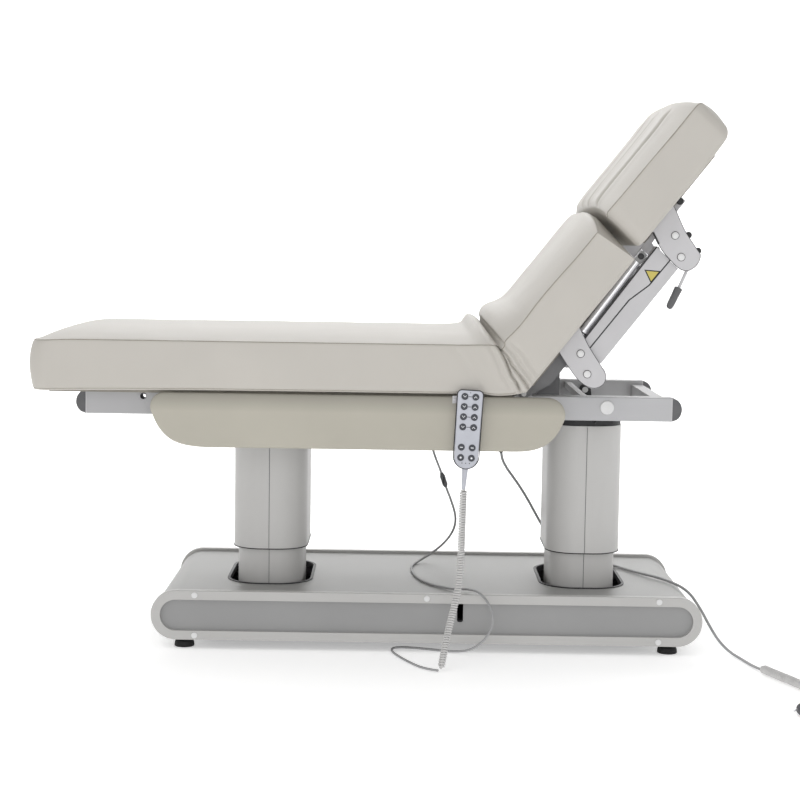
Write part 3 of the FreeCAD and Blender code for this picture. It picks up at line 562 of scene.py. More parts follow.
def mains_curl(plug):
    """The mains lead's curly stretch on the floor, with the plain tail that enters the plug."""
    axis = even_steps(smooth_route(MAINS_COIL), CURL_AXIS_STEP)
    tail = smooth_route([MAINS_COIL[-1]] + MAINS_TAIL)
    path = curled(axis, *MAINS_WINDING) + tail[1:]
    curl = tube("mains_curl", path, MAINS_CURL / 2, 8)
    dress(curl, CURL, "base")
    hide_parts("mains_cord_coil")


def mains_plug():
    """Moulded two-pin plug with a ribbed boot."""
    a, b = (Vector(p) for p in MAINS_TAIL[-2:])
    along = Vector((b.x - a.x, b.y - a.y, 0)).normalized()
    side = Vector((-along.y, along.x, 0))
    ribs = []
    for k in range(7):
        ribs += [(k * 3.4, 4.2 + 0.45 * k), (k * 3.4 + 2.2, 4.4 + 0.45 * k), (k * 3.4 + 2.4, 3.6 + 0.45 * k)]
    boot = turned("boot", b, b + along + Vector((0, 0, 0.24)), ribs)
    start = Vector((b.x, b.y, 14))
    shell = turned("shell", start + along * 20, start + along * 60,
                   [(0, 7), (1.5, 10), (5, 12.6), (12, 13.8), (30, 13.8), (34, 12.8), (35.4, 10.5)])
    body = merged("mains_plug_body", [boot, shell])
    dress(body, GREY_PLASTIC, "base")
    pins = [turned("pin", start + along * 55 + side * s * 9.5, start + along * 80 + side * s * 9.5,
                   [(0, 2.35), (18, 2.35), (19.2, 1.8), (19.8, 0.8)]) for s in (-1, 1)]
    pins = merged("mains_plug_pins", pins)
    dress(pins, BRIGHT, "base")
    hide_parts("mains_plug")
    return body


def inline_connector():
    """Plug and socket joint in the handset's lead, with ribs and a small latch."""
    a, b = (Vector(p) for p in HANDSET_CORD[3:5])
    along = (b - a).normalized()
    profile = [(0, 3.6), (1, 4.6), (5, 5.2), (7, 6.6), (8.5, 7), (17, 7), (18, 6.2), (19.4, 6.2), (20.4, 7),
               (33, 7), (34.5, 6.4), (36, 5.2), (39, 4.4), (40, 3.6)]
    body = turned("inline_connector_body", a + along * 4, b, profile)
    dress(body, GREY_PLASTIC, "head_lift")
    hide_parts("inline_connector")
    middle = a + along * 24 + Vector((0, -7.2, 0))
    latch = block("inline_connector_latch", middle - Vector((2, 1, 9)), middle + Vector((2, 1.2, 9)), 0.5)
    dress(latch, BLACK_PLASTIC, "head_lift")


# -------------------- upholstery
def top_rows():
    """Shares of the half width across the top, close together at the channels and at the edge."""
    rows = [k * 0.035 for k in range(26)] + [0.91, 0.94, 0.96, 0.975, 0.986, 0.993, 0.998]
    for middle in CHANNELS:
        rows += [(middle + d) / MATTRESS_HALF_WIDTH for d in (-16, -11, -7, -4, -1.5, 1.5, 4, 7, 11, 16)]
    rows.sort()
    return [t for k, t in enumerate(rows) if k == 0 or t - rows[k - 1] > 0.002]


TOP_ROWS = top_rows()
UNDER_SHARE = 0.92                   # of the half width that the flat underside's rows reach
UNDER_INSET = 18.0
UNDER_ROWS = [t for t in TOP_ROWS if t < UNDER_SHARE]
SIDE_ROWS = [1.0, 0.985, 0.965, 0.93, 0.88, 0.82, 0.75, 0.68, 0.61, 0.54, 0.47, 0.4, 0.33, 0.26, 0.2, 0.15,
             0.11, 0.085, 0.07, 0.055, 0.04, 0.025, 0.012, 0.003]
BOTTOM_ROUND = 9.0                   # radius of the cushions' lower edges


def side_bulge(v):
    """How far a cushion's side stands out at a share of its height: drawn in at its seam and hem."""
    swell = 3.0 * math.sin(math.pi * v) ** 0.6
    swell -= 1.6 * bump(1.0, 0.012, v) + 1.1 * bump(HEM_LEVEL, 0.012, v)
    height = min(BOTTOM_ROUND, v * (SEAM_Z - MATTRESS_BOTTOM))
    return swell + math.sqrt(BOTTOM_ROUND ** 2 - (BOTTOM_ROUND - height) ** 2) - BOTTOM_ROUND


def top_point(station, t):
    """A point of a cushion's top at a share of its half width; it falls away fast near the edge."""
    _, seam, crown, width, sharpness = station
    rise = 1 - abs(t) ** sharpness
    return Vector((seam[0] + (crown[0] - seam[0]) * rise, width * t, seam[1] + (crown[1] - seam[1]) * rise))


def on_side(station, level):
    """x, z of a cushion's side at a share of its height."""
    bottom, seam = station[:2]
    return [low + (high - low) * level for low, high in zip(bottom, seam)]


def half_section(station):
    """Points of one half of a cushion's cross-section, from the middle of its top to its underside.

    A station is (bottom, seam, crown, half width, sharpness) with the first three as x, z in mm.
    """
    bottom = station[0]
    width = station[3]
    points = [tuple(top_point(station, t)) for t in TOP_ROWS]
    for v in SIDE_ROWS:
        x, z = on_side(station, v)
        points.append((x, width + side_bulge(v), z))
    for inset in (10, 13, 16):
        points.append((bottom[0], width - inset, bottom[1]))
    for t in reversed(UNDER_ROWS):
        points.append((bottom[0], (width - UNDER_INSET) * t / UNDER_SHARE, bottom[1]))
    return points


def cushion(name, stations, cap_bulge):
    """A closed cushion from its cross-sections; cap_bulge is how far each end swells out."""
    points = []
    for station in stations:
        half = half_section(station)
        points += half + [(x, -y, z) for x, y, z in reversed(half[1:-1])]
    faces = bands(len(stations), len(points) // len(stations))
    for station, bulge in zip((stations[0], stations[-1]), cap_bulge):
        add_cap(points, faces, station, bulge)
    return new_object(name, metres(points), faces, 75)


def add_cap(points, faces, station, bulge):
    """Close one end with a grid between the top edge, the two sides and the bottom edge."""
    bottom = station[0]
    width = station[3]
    out = Vector((bulge[0], 0, bulge[1]))
    shares = TOP_ROWS + [1.0]
    columns = [-t for t in reversed(shares[1:])] + shares
    rows = SIDE_ROWS + [0.0]
    first = len(points)
    for v in rows:
        for t in columns:
            low = Vector((bottom[0], width * t, bottom[1]))
            place = low.lerp(top_point(station, t), v)
            place.y += math.copysign(side_bulge(v) * abs(t) ** 8, t)
            swell = max(0.0, 4 * v * (1 - v)) ** 0.5 * (1 + t * t) * (1 - abs(t) ** 10)
            points.append(place + out * swell)
    wide = len(columns)
    for r in range(len(rows) - 1):
        for c in range(wide - 1):
            a = first + r * wide + c
            faces.append((a, a + 1, a + wide + 1, a + wide))


def corner_inset(radius, reach):
    """How far a round corner's outline lies inside the side, at a distance from the end."""
    return radius - math.sqrt(max(0.0, radius ** 2 - (radius - reach) ** 2))


def seat_stations():
    """Cross-sections of the seat part, from the foot end towards the fold."""
    stations = []
    near = [0, 1.5, 4, 8, 13, 19, 26, 34, 42, 52, 64, 78, 94, 112]
    start = FOOT_END + 132
    end = SEAT_KNOTS[0][0][0]
    places = [FOOT_END + d for d in near] + [start + (end - start) * k / 60 for k in range(60)]
    for x in places:
        d = x - FOOT_END
        width = MATTRESS_HALF_WIDTH
        if d < FOOT_RADIUS:
            width -= corner_inset(FOOT_RADIUS, d)
        seam = SEAM_Z - 1.5 - 3.5 * bump(0, 60, d)
        rise = SEAT_CROWN * (1 - (1 - min(1.0, d / 95)) ** 3)
        stations.append(((x, MATTRESS_BOTTOM), (x, seam), (x, seam + rise), width, 4.0))
    return stations


# bottom, seam and crown as x, z, then the sharpness; on the back as distances along and square to it
SEAT_KNOTS = [
    ((160, 657.5), (160, 774.5), (160, 799), 4.0),
    ((205, 657.5), (196, 774.5), (191, 801), 4.0),
    ((245, 657), (224, 775), (210, 805), 4.0),
    ((272, 653.5), (243, 775.5), (219, 819), 3.8),
    ((292, 653), (257, 775.5), (227, 829), 3.6),
    ((308, 654), (267, 775), (237, 829), 3.4),
    ((322, 655.5), (277, 773.5), (248, 823), 3.2),
    ((334, 657.5), (285, 771.5), (254.5, 812), 2.8),
    ((342, 659.5), (289.5, 767), (257, 799), 2.3),
    ((348, 661.5), (291.5, 764), (258, 803), 2.4),
]
BACK_KNOTS = [
    ((6, 7.5), (65, 120), (75, 178), 2.7),
    ((14, 6.5), (72, 125), (82, 187), 3.0),
    ((32, 6.5), (86, 124.5), (95, 193), 2.9),
    ((56, 6.5), (101, 122.5), (108, 193), 2.9),
    ((80, 6.5), (116, 121.5), (122, 186), 3.0),
    ((104, 6.5), (132, 121), (136, 176), 3.3),
    ((130, 6.5), (152, 121.5), (155, 166), 3.7),
    ((160, 6.5), (176, 122.5), (178, 161.5), 4.0),
    ((195, 6.5), (205, 123), (206, 160), 4.0),
    ((240, 6.5), (245, 122.5), (245, 160), 4.0),
    ((290, 6.5), (292, 120.5), (296, 160), 4.0),
    ((335, 6.5), (334, 118.5), (344, 160), 4.0),
    ((368, 6.5), (366, 118), (386, 160), 4.0),
    ((392, 6.5), (388, 118), (418, 159.5), 3.9),
    ((406, 6.5), (401, 118), (439, 158.5), 3.8),
    ((414, 6.5), (408, 118), (449, 155), 3.6),
    ((418, 7), (411, 117.5), (453.5, 147), 3.5),
    ((420, 8.5), (412.5, 116), (455, 137), 3.4),
]
FOLD_CREASES = (
    # x, z down the side face: the fold's two creases, and a shallow one on the seat's side
    ((288, 767), (303, 738), (318, 700), (329, 687), (341, 660)),
    ((290, 764), (304, 751), (317, 727), (339, 701), (354, 680), (364, 660)),
    ((188, 756), (226, 701), (238, 676)),
)


def fold_stations():
    """Cross-sections through the fold and up the back, smoothed between the knots."""
    knots = list(SEAT_KNOTS)
    for bottom, seam, crown, sharpness in BACK_KNOTS:
        knots.append((at_back(*bottom), at_back(*seam), at_back(*crown), sharpness))
    lines = [((*bottom, sharpness), (*seam, 0), (*crown, 0)) for bottom, seam, crown, sharpness in knots]
    low, seam, high = (spline(line, 8) for line in zip(*lines))
    total = len(low) - 1
    stations = []
    for k, (b, s, c) in enumerate(zip(low, seam, high)):
        d = (total - k) * 2.0
        width = MATTRESS_HALF_WIDTH
        if d < BACK_CORNER:
            width -= corner_inset(BACK_CORNER, d)
        stations.append(((b.x, b.y), (s.x, s.y), (c.x, c.y), width, b.z))
    return stations


def crease_distance(line, x, z):
    """How far a point lies past a crease of the side face, measured along the bed, in mm."""
    for (xa, za), (xb, zb) in zip(line, line[1:]):
        if z >= zb:
            break
    return x - xa - (xb - xa) * (za - z) / (za - zb)


def side_folds(x, z):
    """Outward push of the side face by the fold's creases and the slack beside them, in mm."""
    a, b, c = (crease_distance(line, x, z) for line in FOLD_CREASES)
    push = -14 * math.exp(-abs(a) / 2.6) - 15 * math.exp(-abs(b) / 2.6)
    push += 3.2 * bump(11, 5, b) - 2.8 * bump(22, 6, b) + 1.7 * bump(33, 7, b) - 1.5 * bump(46, 8, b)
    push += 2.2 * bump(-9, 5, a) - 2.0 * bump(-20, 7, a) + 1.2 * bump(-33, 9, a)
    push -= 1.8 * bump(0, 7, c) - 1.2 * bump(14, 8, c)
    return push * (1 - step(768, 792, z)) * step(650, 676, z)


def foot_swell(x, y, z):
    """Outward push round the foot end, fullest at mid-height and drawn in at the seam and the hem."""
    reach = FOOT_END + FOOT_RADIUS - x
    if reach <= 0:
        return Vector((0, 0, 0))
    across = max(0.0, abs(y) - (MATTRESS_HALF_WIDTH - FOOT_RADIUS))
    out = Vector((-reach, math.copysign(across, y), 0)).normalized()
    height = min(1.0, max(0.0, (z - MATTRESS_BOTTOM) / (SEAM_Z - 5 - MATTRESS_BOTTOM)))
    return out * 12 * math.sin(math.pi * height) ** 0.6 * min(1.0, reach / FOOT_RADIUS)


def hem_drop(x, y, z):
    """How far the cover's lower edge hangs below the deck's top, most at the foot end."""
    edge = max(step(358, 382, abs(y)), step(-FOOT_END - 42, -FOOT_END - 16, -x))
    low = 1 - step(MATTRESS_BOTTOM + 2, MATTRESS_BOTTOM + 30, z)
    drop = 1.3 + 4.2 * bump(FOOT_END, 300, x) + 2.0 * bump(FOOT_END, 90, x)
    return drop * edge * low * (1 - step(150, 240, x))


def creased(x, y, z):
    """Push of the cover at a point of the mattress: the side's folds and the top's soft unevenness."""
    push = foot_swell(x, y, z)
    sign = 1 if y > 0 else -1
    side = step(MATTRESS_HALF_WIDTH - 8, MATTRESS_HALF_WIDTH - 1, abs(y))
    soft = noise.noise(Vector((x, y, z)) * 0.011) * 1.3
    soft += noise.noise(Vector((x, y + 900, z)) * 0.03) * 0.35
    push.z += soft * (1 - side) * step(700, 760, z) - hem_drop(x, y, z)
    push.y += sign * side * (side_folds(x, z) + noise.noise(Vector((x, 0, z)) * 0.014) * 0.8)
    return push


def shape_mesh(piece, change):
    """Move every vertex by a rule that works in mm."""
    for vertex in piece.data.vertices:
        vertex.co += change(*(vertex.co * 1000)) * 0.001
    piece.data.update()


def side_lines(name, stations, level, radius, out, change=None, end_loop=True):
    """Seam lines on both sides at one level, which the end loop joins round the foot end."""
    near = []
    for station in stations:
        x, z = on_side(station, level)
        near.append(Vector((x, -station[3] - out, z)))
    if change:
        near = [p + change(*p) for p in near]
    far = [Vector((p.x, -p.y, p.z)) for p in near]
    runs = [near[::-1] + far] if end_loop else [near, far]
    return merged(name, [tube(name, metres(run), radius * 0.001, 8) for run in runs])


def bend_with_back(piece):
    """Bake a piece of the mattress's placement into its mesh."""
    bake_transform(piece)


def mattress():
    """Seat and back as one continuous padded cover with a deep soft fold."""
    stations = seat_stations() + fold_stations()
    pad = cushion("mattress", stations, ((0, 0), (3, 3.8)))
    shape_mesh(pad, creased)
    dress(pad, UPHOLSTERY)
    bend_with_back(pad)
    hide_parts("seat_cushion", "back_cushion")
    seam = side_lines("mattress_seam", stations, 1.0, SEAM_RADIUS, SEAM_OUT, creased)
    dress(seam, SEAM)
    bend_with_back(seam)
    seat_part = [station for station in stations if station[0][0] < HINGE[0] - 24]
    hem = side_lines("mattress_hem_stitch", seat_part, HEM_LEVEL, HEM_RADIUS, HEM_OUT, creased)
    dress(hem, SEAM)
    bend_with_back(hem)


def head_stations():
    """Cross-sections of the head cushion, given along (u) and square to (n) the back."""
    bottoms = [(447, 25), (451, 19), (463, 16.5), (500, 16), (600, 16), (700, 16), (762, 18), (782, 21),
               (795, 29), (802, 38)]
    seams = [(458, 120), (464, 128), (478, 129), (520, 128), (600, 127), (700, 125), (772, 124.5), (788, 124),
             (800, 121), (808, 113)]
    crowns = [(468, 134), (474, 151), (488, 159), (525, 161), (600, 161), (700, 161), (772, 163), (788, 162),
              (799, 151), (807, 133)]
    stations = []
    for b, s, c in zip(*(spline([(*p, 0) for p in line], 12) for line in (bottoms, seams, crowns))):
        width = MATTRESS_HALF_WIDTH
        reach = min(b.x - HEAD_ENDS[0], (HEAD_ENDS[1] - b.x) * 0.8)
        if reach < HEAD_CORNER:
            width -= corner_inset(HEAD_CORNER, reach)
        stations.append((at_back(b.x, b.y), at_back(s.x, s.y), at_back(c.x, c.y), width, 3.6))
    return stations


def channelled(x, y, z):
    """The head cushion's lengthwise channels and soft unevenness."""
    c, s = BACK_ALONG
    u = (x - HINGE[0]) * c + (z - HINGE[1]) * s
    n = (z - HINGE[1]) * c - (x - HINGE[0]) * s
    top = step(118, 130, n) * step(464, 490, u) * (1 - step(748, 772, u))
    depth = 0.0
    for middle in CHANNELS:
        off = abs(abs(y) - middle)
        depth -= 9 * bump(0, 9, off) - 3 * bump(27, 13, off)
    soft = noise.noise(Vector((x, y, z)) * 0.012) * 1.2
    push = depth * top + soft * step(30, 60, n)
    return Vector((-s * push, 0, c * push))


def head_cushion():
    """The head section's own cushion, with its lengthwise sewn channels."""
    stations = head_stations()
    along = Vector(BACK_ALONG)
    pad = cushion("head_cushion_pad", stations, (along * -1, along * 10))
    shape_mesh(pad, channelled)
    dress(pad, UPHOLSTERY, "head")
    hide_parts("head_cushion")
    seam = side_lines("head_cushion_seam", stations, 1.0, SEAM_RADIUS, SEAM_OUT, None, False)
    dress(seam, SEAM, "head")


def skirt_outline():
    """The skirt's outline in x, z: straight top, round ends that draw in below."""
    knots = [(-514, 650), (-529, 648), (-541, 641), (-549, 629), (-552, 613), (-547, 597), (-532, 566),
             (-508, 540), (-476, 525), (-430, 518.5), (-380, 518), (-200, 518), (0, 518), (200, 518),
             (300, 518), (350, 519), (382, 525), (408, 538), (429, 560), (444, 588), (449, 606),
             (447, 621), (439, 635), (427, 644.5), (412, 649), (396, 650)]
    return [Vector((p.x, p.y)) for p in spline([(*k, 0) for k in knots], 5)]


def side_skirt():
    """Upholstered panel with a rolled edge and a flat face."""
    outline = skirt_outline()
    count = len(outline)
    middle = sum(outline, Vector((0, 0))) / count
    rings = [(0, 0), (0, 5), (0.8, 7.6), (2.6, 9.3), (5.5, 10.2), (9, 10.6), (11, 10.6)]
    points = []
    for inset, thickness in rings:
        for k, corner in enumerate(outline):
            along = (outline[(k + 1) % count] - outline[k - 1]).normalized()
            inward = Vector((-along.y, along.x))
            if inward.dot(middle - corner) < 0 and abs(inward.y) > 0.5:
                inward = -inward
            p = corner + inward * inset
            points.append((p.x, SKIRT_BACK - thickness, p.y))
    faces = bands(len(rings), count) + lids(len(rings), count)
    return new_object("side_skirt_near", metres(points), faces, 50)


def side_skirts():
    """Both skirts and the angles that hold them under the rails."""
    near = side_skirt()
    far = mirrored("side_skirt_far", near)
    for piece in (near, far):
        dress(piece, SKIRT, "bed_frame")
    brackets = []
    for x in (-480, -100, 260):
        bracket = block("bracket", (x - 15, SKIRT_BACK, 565), (x + 15, SKIRT_BACK + 5.5, 650), 0.8)
        brackets.append(bracket)
        brackets.append(mirrored("bracket_far", bracket))
    brackets = merged("skirt_brackets", brackets)
    dress(brackets, DARK_STEEL, "bed_frame")
    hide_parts("side_skirts")


# -------------------- small parts
def on_handset(x, y, z):
    """From the handset's own frame (mm) to the bed's."""
    c = math.cos(HANDSET_LEAN)
    s = math.sin(HANDSET_LEAN)
    return Vector((HANDSET_MIDDLE[0] + x * c + z * s, HANDSET_BACK + y, HANDSET_MIDDLE[1] - x * s + z * c))


def handset_mark(name, outline, depth, lift, stand=0.0):
    """A thin raised mark on the handset's front; outline is x, z in the handset's own frame."""
    front = -HANDSET_SIZE[2] - stand
    return prism(name, [on_handset(x, front - y, z) for y in (-depth, lift) for x, z in outline])


def chevron(x, z, way):
    """Outline of an arrow head pointing up (way 1) or down (way -1)."""
    return [(x - 4, z - 2 * way), (x, z + 2.2 * way), (x + 4, z - 2 * way), (x + 3.2, z - 3 * way),
            (x, z + 0.6 * way), (x - 3.2, z - 3 * way)]


def round_mark(x, z, radius, sides):
    """Outline of a dot."""
    return arc(x, z, radius, 0, 360, sides)[:-1]


def bar_mark(x, z, half_width, half_height):
    """Outline of a bar."""
    return [(x - half_width, z - half_height), (x + half_width, z - half_height),
            (x + half_width, z + half_height), (x - half_width, z + half_height)]


def key_marks():
    """Plain marks on the keys: arrows down and up in the first four rows, then bars, then dots."""
    for index, row in enumerate(KEY_ROWS):
        z = HANDSET_SIZE[1] / 2 - row
        for column, way in enumerate((-1, 1)):
            x = way * KEY_COLUMN
            body = "key_%02d" % (index * 2 + column + 1)
            if index < ARROW_ROWS:
                outline = chevron(x, z, way)
            elif index == ARROW_ROWS:
                outline = bar_mark(x, z, 3.4, 1)
            else:
                outline = round_mark(x, z, 2.4, 24)
            mark = handset_mark(body + "_mark", outline, 0.1, 0.12, KEY_STAND)
            dress(mark, PRINT, body)


def handset_face():
    """The handset's lamps, the bars between its arrow keys and the joint line round its front."""
    top = HANDSET_SIZE[1] / 2
    lamps = [handset_mark("lamp", round_mark(x, -top + 14, 1.3, 16), 0.2, 0.3) for x in (-9, 0, 9)]
    lamps.append(handset_mark("lamp", round_mark(0, top - 6, 1.1, 16), 0.2, 0.3))
    lamps = merged("handset_lamps", lamps)
    dress(lamps, KEY, "handset")
    bars = [handset_mark("bar", bar_mark(0, top - row, 4, 0.8), 0.1, 0.06) for row in KEY_ROWS[:ARROW_ROWS]]
    bars = merged("handset_link_bars", bars)
    dress(bars, KEY, "handset")
    w = HANDSET_SIZE[0] / 2
    r = 11.0
    outline = []
    for cx, cz, a0, a1, radius in ((w - r, top - r, 0, 90, r), (-w + r, top - r, 90, 180, r),
                                   (0, -top + w, 180, 360, w)):
        for x, z in arc(cx, cz, radius, a0, a1, 12):
            outline.append(on_handset(x, JOINT_LINE_DEPTH - HANDSET_SIZE[2], z))
    outline.append(outline[0])
    seam = tube("handset_joint_line", metres(outline), JOINT_LINE_RADIUS, 6)
    dress(seam, BLACK_PLASTIC, "handset")


def middle_of(node):
    """x, y in mm of the middle of a CAD node's box."""
    low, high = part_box(node)
    return (low.x + high.x) * 500, (low.y + high.y) * 500


def levelling_feet():
    """Rubber pad with a grooved rim, and the threaded steel stud."""
    for corner in ("foot_near", "foot_far", "head_near", "head_far"):
        node = "levelling_foot_" + corner
        x, y = middle_of(node)
        pad = turned("pad_" + corner, (x, y, 0), (x, y, 1),
                     [(0, 23), (0.2, 24.4), (2, 25), (5, 25), (5.6, 24.2), (6.6, 24.2), (7.2, 24.8),
                      (12, 23.6), (14, 22.4), (16, 17), (19.5, 11.5), (20.5, 9)])
        dress(pad, RUBBER, "foot_pad_" + corner)
        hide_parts(node)
        thread = [(0, 4.6)]
        for k in range(36):
            start = 1 + k * THREAD_PITCH
            thread += [(start, 4.6), (start + 0.5, 5), (start + 0.9, 5)]
        stud = turned("stud_" + corner, (x, y, 20), (x, y, 21), thread, 20)
        dress(stud, GREY_STEEL, "foot_pad_" + corner)


def release_lever():
    """Bent rod with a tapered rubber grip."""
    hub, bend, end = (on_back(u, LEVER_Y, n) for u, n in ((492, -112), (438, -126), (383, -139)))
    along = (end - bend).normalized()
    drop = (bend - hub).normalized()
    route = spline([hub + drop * 7.4, bend - drop * 12, bend, bend + along * 14], 8)
    rod = tube("rod", metres(route), LEVER_ROD / 2, 16)
    eye = turned("eye", hub + Vector((0, 6, 0)), hub - Vector((0, 6, 0)),
                 [(0, 4.3), (0, 7.4), (0.6, 8), (11.4, 8), (12, 7.4), (12, 4.3)], ring=True)
    arm = merged("release_lever_rod", [rod, eye])
    dress(arm, PALE_PLASTIC, "lever")
    length = (end - bend).length
    profile = [(0, 5), (0.6, 8.4), (2, 9.8), (4, 10.2)]
    for k in range(9):
        d = 6 + k * (length - 18) / 9
        r = 10.2 - 1.6 * d / length
        profile += [(d, r), (d + 1.2, r - 0.4), (d + 2.4, r)]
    profile += [(length - 8, 8.6), (length - 3, 7.6), (length - 0.5, 5), (length + 0.6, 2)]
    grip = turned("release_lever_grip", bend, end, profile)
    dress(grip, GREY_PLASTIC, "lever")
    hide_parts("release_lever")


def both_dressed(pieces, name, material, body):
    """Several near-side pieces as one, and its mirror image on the far side."""
    near = merged(name, pieces)
    for piece in (near, mirrored(name + "_far", near)):
        dress(piece, material, body)


def back_plate(name, outline, y0, y1, round_edge=0.3):
    """A plate whose outline is given along (u) and square to (n) the back."""
    return plate(name, [at_back(u, n) for u, n in outline], y0, y1, round_edge)


def plate_screws():
    """White domed caps on the side plates' screws, each with a thin dark ring of painted shadow round its
    edge, both sides.
    """
    cap = [(0, 8.7), (2.2, 8.7), (3.4, 8.2), (4.3, 6.4), (4.7, 3)]
    # The black ring round each cap is painted shadow at the dome's edge.
    painted_shadow_ring = [(0, 8.5), (0, 10), (0.7, 10), (0.9, 9.6), (0.9, 8.5)]
    for body, places in (("back", ((163.6, -40), (135, -84))), ("head", ((527, -36.4), (496, -80.7)))):
        faces = [on_back(u, PLATE_FACE, n) for u, n in places]
        caps = [turned("cap", face, face + NEARWARD, cap) for face in faces]
        painted_shadow_rings = [turned("painted_shadow_ring", face, face + NEARWARD, painted_shadow_ring, ring=True) for face in faces]
        both_dressed(caps, body + "_screw_caps", WHITE_CAP, body)
        both_dressed(painted_shadow_rings, body + "_screw_painted_shadow_rings", BLACK_PLASTIC, body)


def arm_trims():
    """Dark joint between the arm's shells, its upper edge band, and the plates' dark edges."""
    joint = [(177, -48.4), (338, -48.4), (396, -63.4), (475, -64.5), (475, -67.5), (396, -66.6), (338, -51.6),
             (177, -51.6)]
    band = [(176, -24.6), (480, -18.6), (480.4, -22), (176, -28)]
    lines = [back_plate("line", outline, ARM_FACE + 2, ARM_FACE - 0.4) for outline in (joint, band)]
    both_dressed(lines, "arm_dark_lines", BLACK_PLASTIC, "back")
    edge = [(134, 4), (121, -36), (111.5, -72), (111, -97), (120, -120), (141, -130), (161, -121), (171, -99),
            (187.5, -50), (200, -21), (212, 4)]
    both_dressed([plate_edge(edge)], "back_plate_edge", GREY_PLASTIC, "back")
    edge = [(500, 14), (489, -11), (478, -42), (472, -91), (480, -113), (498, -121.5), (514, -121),
            (529, -114), (534, -100), (543, -70), (552, -44), (575, 2), (580, 14)]
    lip = [(497, 10), (484, -18), (488.4, -19.6), (501.5, 9)]
    strip = back_plate("strip", lip, PLATE_FACE + 2, PLATE_FACE - 1.4)
    both_dressed([plate_edge(edge), strip], "head_plate_edge", BLACK_PLASTIC, "head")


def plate_edge(outline):
    """A fine dark line round a side plate's outer edge."""
    line = [on_back(p.x, PLATE_FACE + 0.4, p.y) for p in spline([(u, n, 0) for u, n in outline], 5)]
    return tube("edge", metres(line), 0.0009, 6)


def tube_collars():
    """Bright collar round each tube near its foot, with a dark ring below it."""
    collar = [(2, 10.6), (2, 12.2), (2.6, 12.8), (8.4, 12.8), (9, 12.2), (9, 10.6)]
    ring = [(-0.6, 10.6), (-0.6, 12), (1.6, 12), (1.6, 10.6)]
    low = on_back(206, -TUBE_Y, -13.7)
    high = on_back(216, -TUBE_Y, -13.4)
    for name, profile, material, slot in (("tube_collars", collar, BRIGHT, "bright_steel"),
                                          ("tube_rings", ring, BLACK_PLASTIC, "black_plastic")):
        both_dressed([turned(name, low, high, profile, ring=True)], name, material, "back")


def hinge_caps():
    """Dark pin heads in the bright straps at the head section's hinge."""
    face = on_back(HEAD_HINGE[0], STRAP_FACE + 1, HEAD_HINGE[1])
    pin = turned("pin", face, face + NEARWARD, [(0, 6), (4, 6), (4.4, 7.4), (6.4, 7.4), (7.2, 6.4), (7.4, 3)])
    outline = [(420, -17), (436, -19), (450, -16), (452, -4), (450, 3), (420, 2.5)]
    strap = back_plate("strap", outline, STRAP_FACE, STRAP_FACE - 1.2, 0.4)
    both_dressed([pin], "head_hinge_pins", BLACK_PLASTIC, "back")
    both_dressed([strap], "head_hinge_straps", PANEL, "back")


def knobs():
    """Dark pins that show past the edge of the head section's plates."""
    pieces = []
    for u, n, radius, y in ((600, 5, 9, -330), (549, -62, 8, -341), (534, -104, 8, -341)):
        face = on_back(u, y, n)
        pieces.append(turned("knob", face, face + NEARWARD,
                             [(-14, radius - 2.5), (-4, radius - 2.5), (-3, radius), (1, radius),
                              (2.4, radius - 1.4), (2.8, radius - 4)]))
    both_dressed(pieces, "head_side_knobs", BLACK_PLASTIC, "head")


def warning_triangle():
    """A plain yellow triangle with a dark rim on the near arm, with no sign on it."""
    corners = [Vector(c) for c in ((418, -34), (438, -64), (404, -64))]
    middle = sum(corners, Vector((0, 0))) / 3
    for name, scale, lift, material, slot in (("warning_rim", 1.12, 0.4, BLACK_PLASTIC, "black_plastic"),
                                              ("warning_field", 0.84, 0.7, YELLOW, "pale_plastic")):
        outline = [tuple(middle + (c - middle) * scale) for c in corners]
        dress(back_plate(name, outline, ARM_FACE + 0.2, ARM_FACE - lift, 0), material, "back")


def rail_details():
    """Light joint lines at the rails' ends and the black lining of the accessory holes, whose black is partly
    painted shade inside each hole.
    """
    lines = [block("joint", (x - 1.4, -290.6, 586.5), (x + 1.4, -239.4, 644.5), 0.4) for x in RAIL_JOINTS]
    both_dressed(lines, "rail_joint_lines", PALE_PLASTIC, "bed_frame")
    for side, name in ((-1, "near"), (1, "far")):
        # The lining is a real part; its black also stands in as painted shade inside the hole.
        inner = Vector((ACCESSORY_HOLE[0], RAIL_FACE * side, ACCESSORY_HOLE[1]))
        collar = turned("rail_hole_shade_lining_" + name, inner, inner - NEARWARD * side,
                        [(0, 7.9), (3.6, 7.9), (3.6, 6.9), (0, 6.9)], ring=True)
        dress(collar, BLACK_PLASTIC, "bed_frame")


def column_joints():
    """Fine upright joint lines down the middle of the columns' covers, front and rear."""
    for cover, body in (("foot_upper", "foot_lift"), ("head_upper", "head_lift"), ("foot_lower", "base"),
                        ("head_lower", "base")):
        low, high = (corner * 1000 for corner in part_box(cover + "_cover"))
        x = (low.x + high.x) / 2
        lines = [block("line", (x - 0.55, y - 0.3, low.z + 3), (x + 0.55, y + 0.3, high.z - 3), 0)
                 for y in (low.y, high.y)]
        dress(merged(cover + "_joint_lines", lines), GREY_PLASTIC, body)


def column_trims():
    """Black edge strips along the lower edge of each column's upper cover."""
    for end in ("foot", "head"):
        low, high = (corner * 1000 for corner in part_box(end + "_upper_cover"))
        x = (low.x + high.x) / 2
        outline = []
        half_x = (high.x - low.x) / 2 + 0.4
        half_y = (high.y - low.y) / 2 + 0.4
        for sx, sy, start in ((1, 1, 0), (-1, 1, 90), (-1, -1, 180), (1, -1, 270)):
            corner = (x + sx * (half_x - COVER_CORNER), sy * (half_y - COVER_CORNER))
            outline += [(*p, low.z + 1.2) for p in arc(*corner, COVER_CORNER, start, start + 90, 9)]
        outline.append(outline[0])
        strip = tube(end + "_cover_edge", metres(outline), 0.0013, 6)
        dress(strip, BLACK_PLASTIC, end + "_lift")


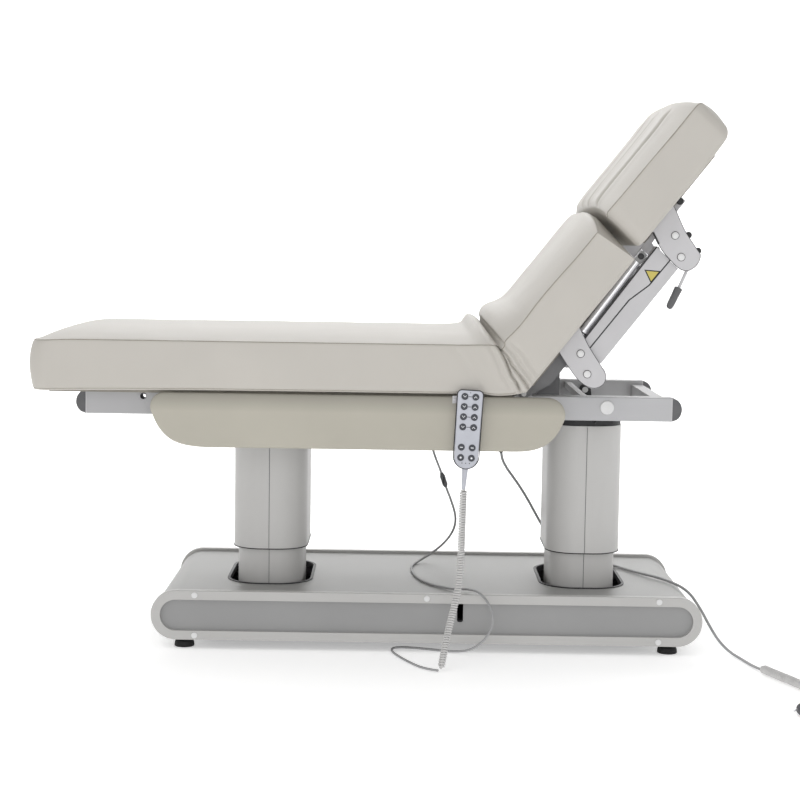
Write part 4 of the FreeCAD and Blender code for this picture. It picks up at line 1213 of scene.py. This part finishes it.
# -------------------- stage
def glow(name, place, target, size, power):
    """A soft rectangular lamp that faces a target."""
    data = bpy.data.lights.new(name, "AREA")
    data.shape = "RECTANGLE"
    data.size = size[0]
    data.size_y = size[1]
    data.energy = power
    lamp = added(name, data)
    lamp.location = place
    lamp.rotation_euler = (Vector(target) - Vector(place)).to_track_quat("-Z", "Y").to_euler()


def plain_tones():
    """Show tones as they are, so that the pale surround stays white as in a product photograph."""
    bpy.context.scene.view_settings.view_transform = "Standard"


def studio():
    """Pale floor that sweeps up behind the bed, an even white surround and soft lamps."""
    wide = 26.0
    sweep = 2.5
    profile = [(-wide, 0)] + arc(3.5, sweep, sweep, -90, 0, 15) + [(6, 7)]
    points = []
    for y, z in profile:
        points.append((-wide, y, z))
        points.append((wide, y, z))
    faces = [(2 * k, 2 * k + 1, 2 * k + 3, 2 * k + 2) for k in range(len(profile) - 1)]
    floor = new_object("studio_floor", points, faces)
    for vertex in floor.data.vertices:
        vertex.co.z -= 0.0002
    pale = finish("studio_floor", (250, 250, 250), 0.9, 0.005, 2.0, 0.02, 0.01)
    shader = pale.node_tree.nodes["Principled BSDF"]
    shader.inputs["Emission Color"].default_value = (1, 1, 1, 1)
    shader.inputs["Emission Strength"].default_value = 0.36
    floor.data.materials.append(pale)
    world = bpy.data.worlds.new("studio")
    world.use_nodes = True
    sky = world.node_tree.nodes["Background"]
    sky.inputs["Color"].default_value = (1, 1, 1, 1)
    sky.inputs["Strength"].default_value = 0.6
    bpy.context.scene.world = world
    glow("key", (-1.6, -2.6, 3.6), (0.1, 0, 0.6), (2.6, 2.0), 18)
    glow("top", (0.3, 0.4, 4.2), (0.1, 0, 0.5), (3.2, 2.4), 6)
    glow("front", (0.2, -6.0, 1.6), (0.1, 0, 0.6), (3.0, 2.0), 45)
    glow("back", (0.0, 5.0, 4.5), (0.0, 6.0, 1.0), (6.0, 2.0), 150)


# -------------------- build
place_camera()
inline_connector()
handset_lead()
handset_curls()
mains_lead()
mains_curl(mains_plug())
dress_cad_nodes()
mattress()
head_cushion()
side_skirts()
key_marks()
handset_face()
levelling_feet()
release_lever()
plate_screws()
arm_trims()
tube_collars()
hinge_caps()
knobs()
warning_triangle()
rail_details()
column_joints()
column_trims()
plain_tones()
studio()
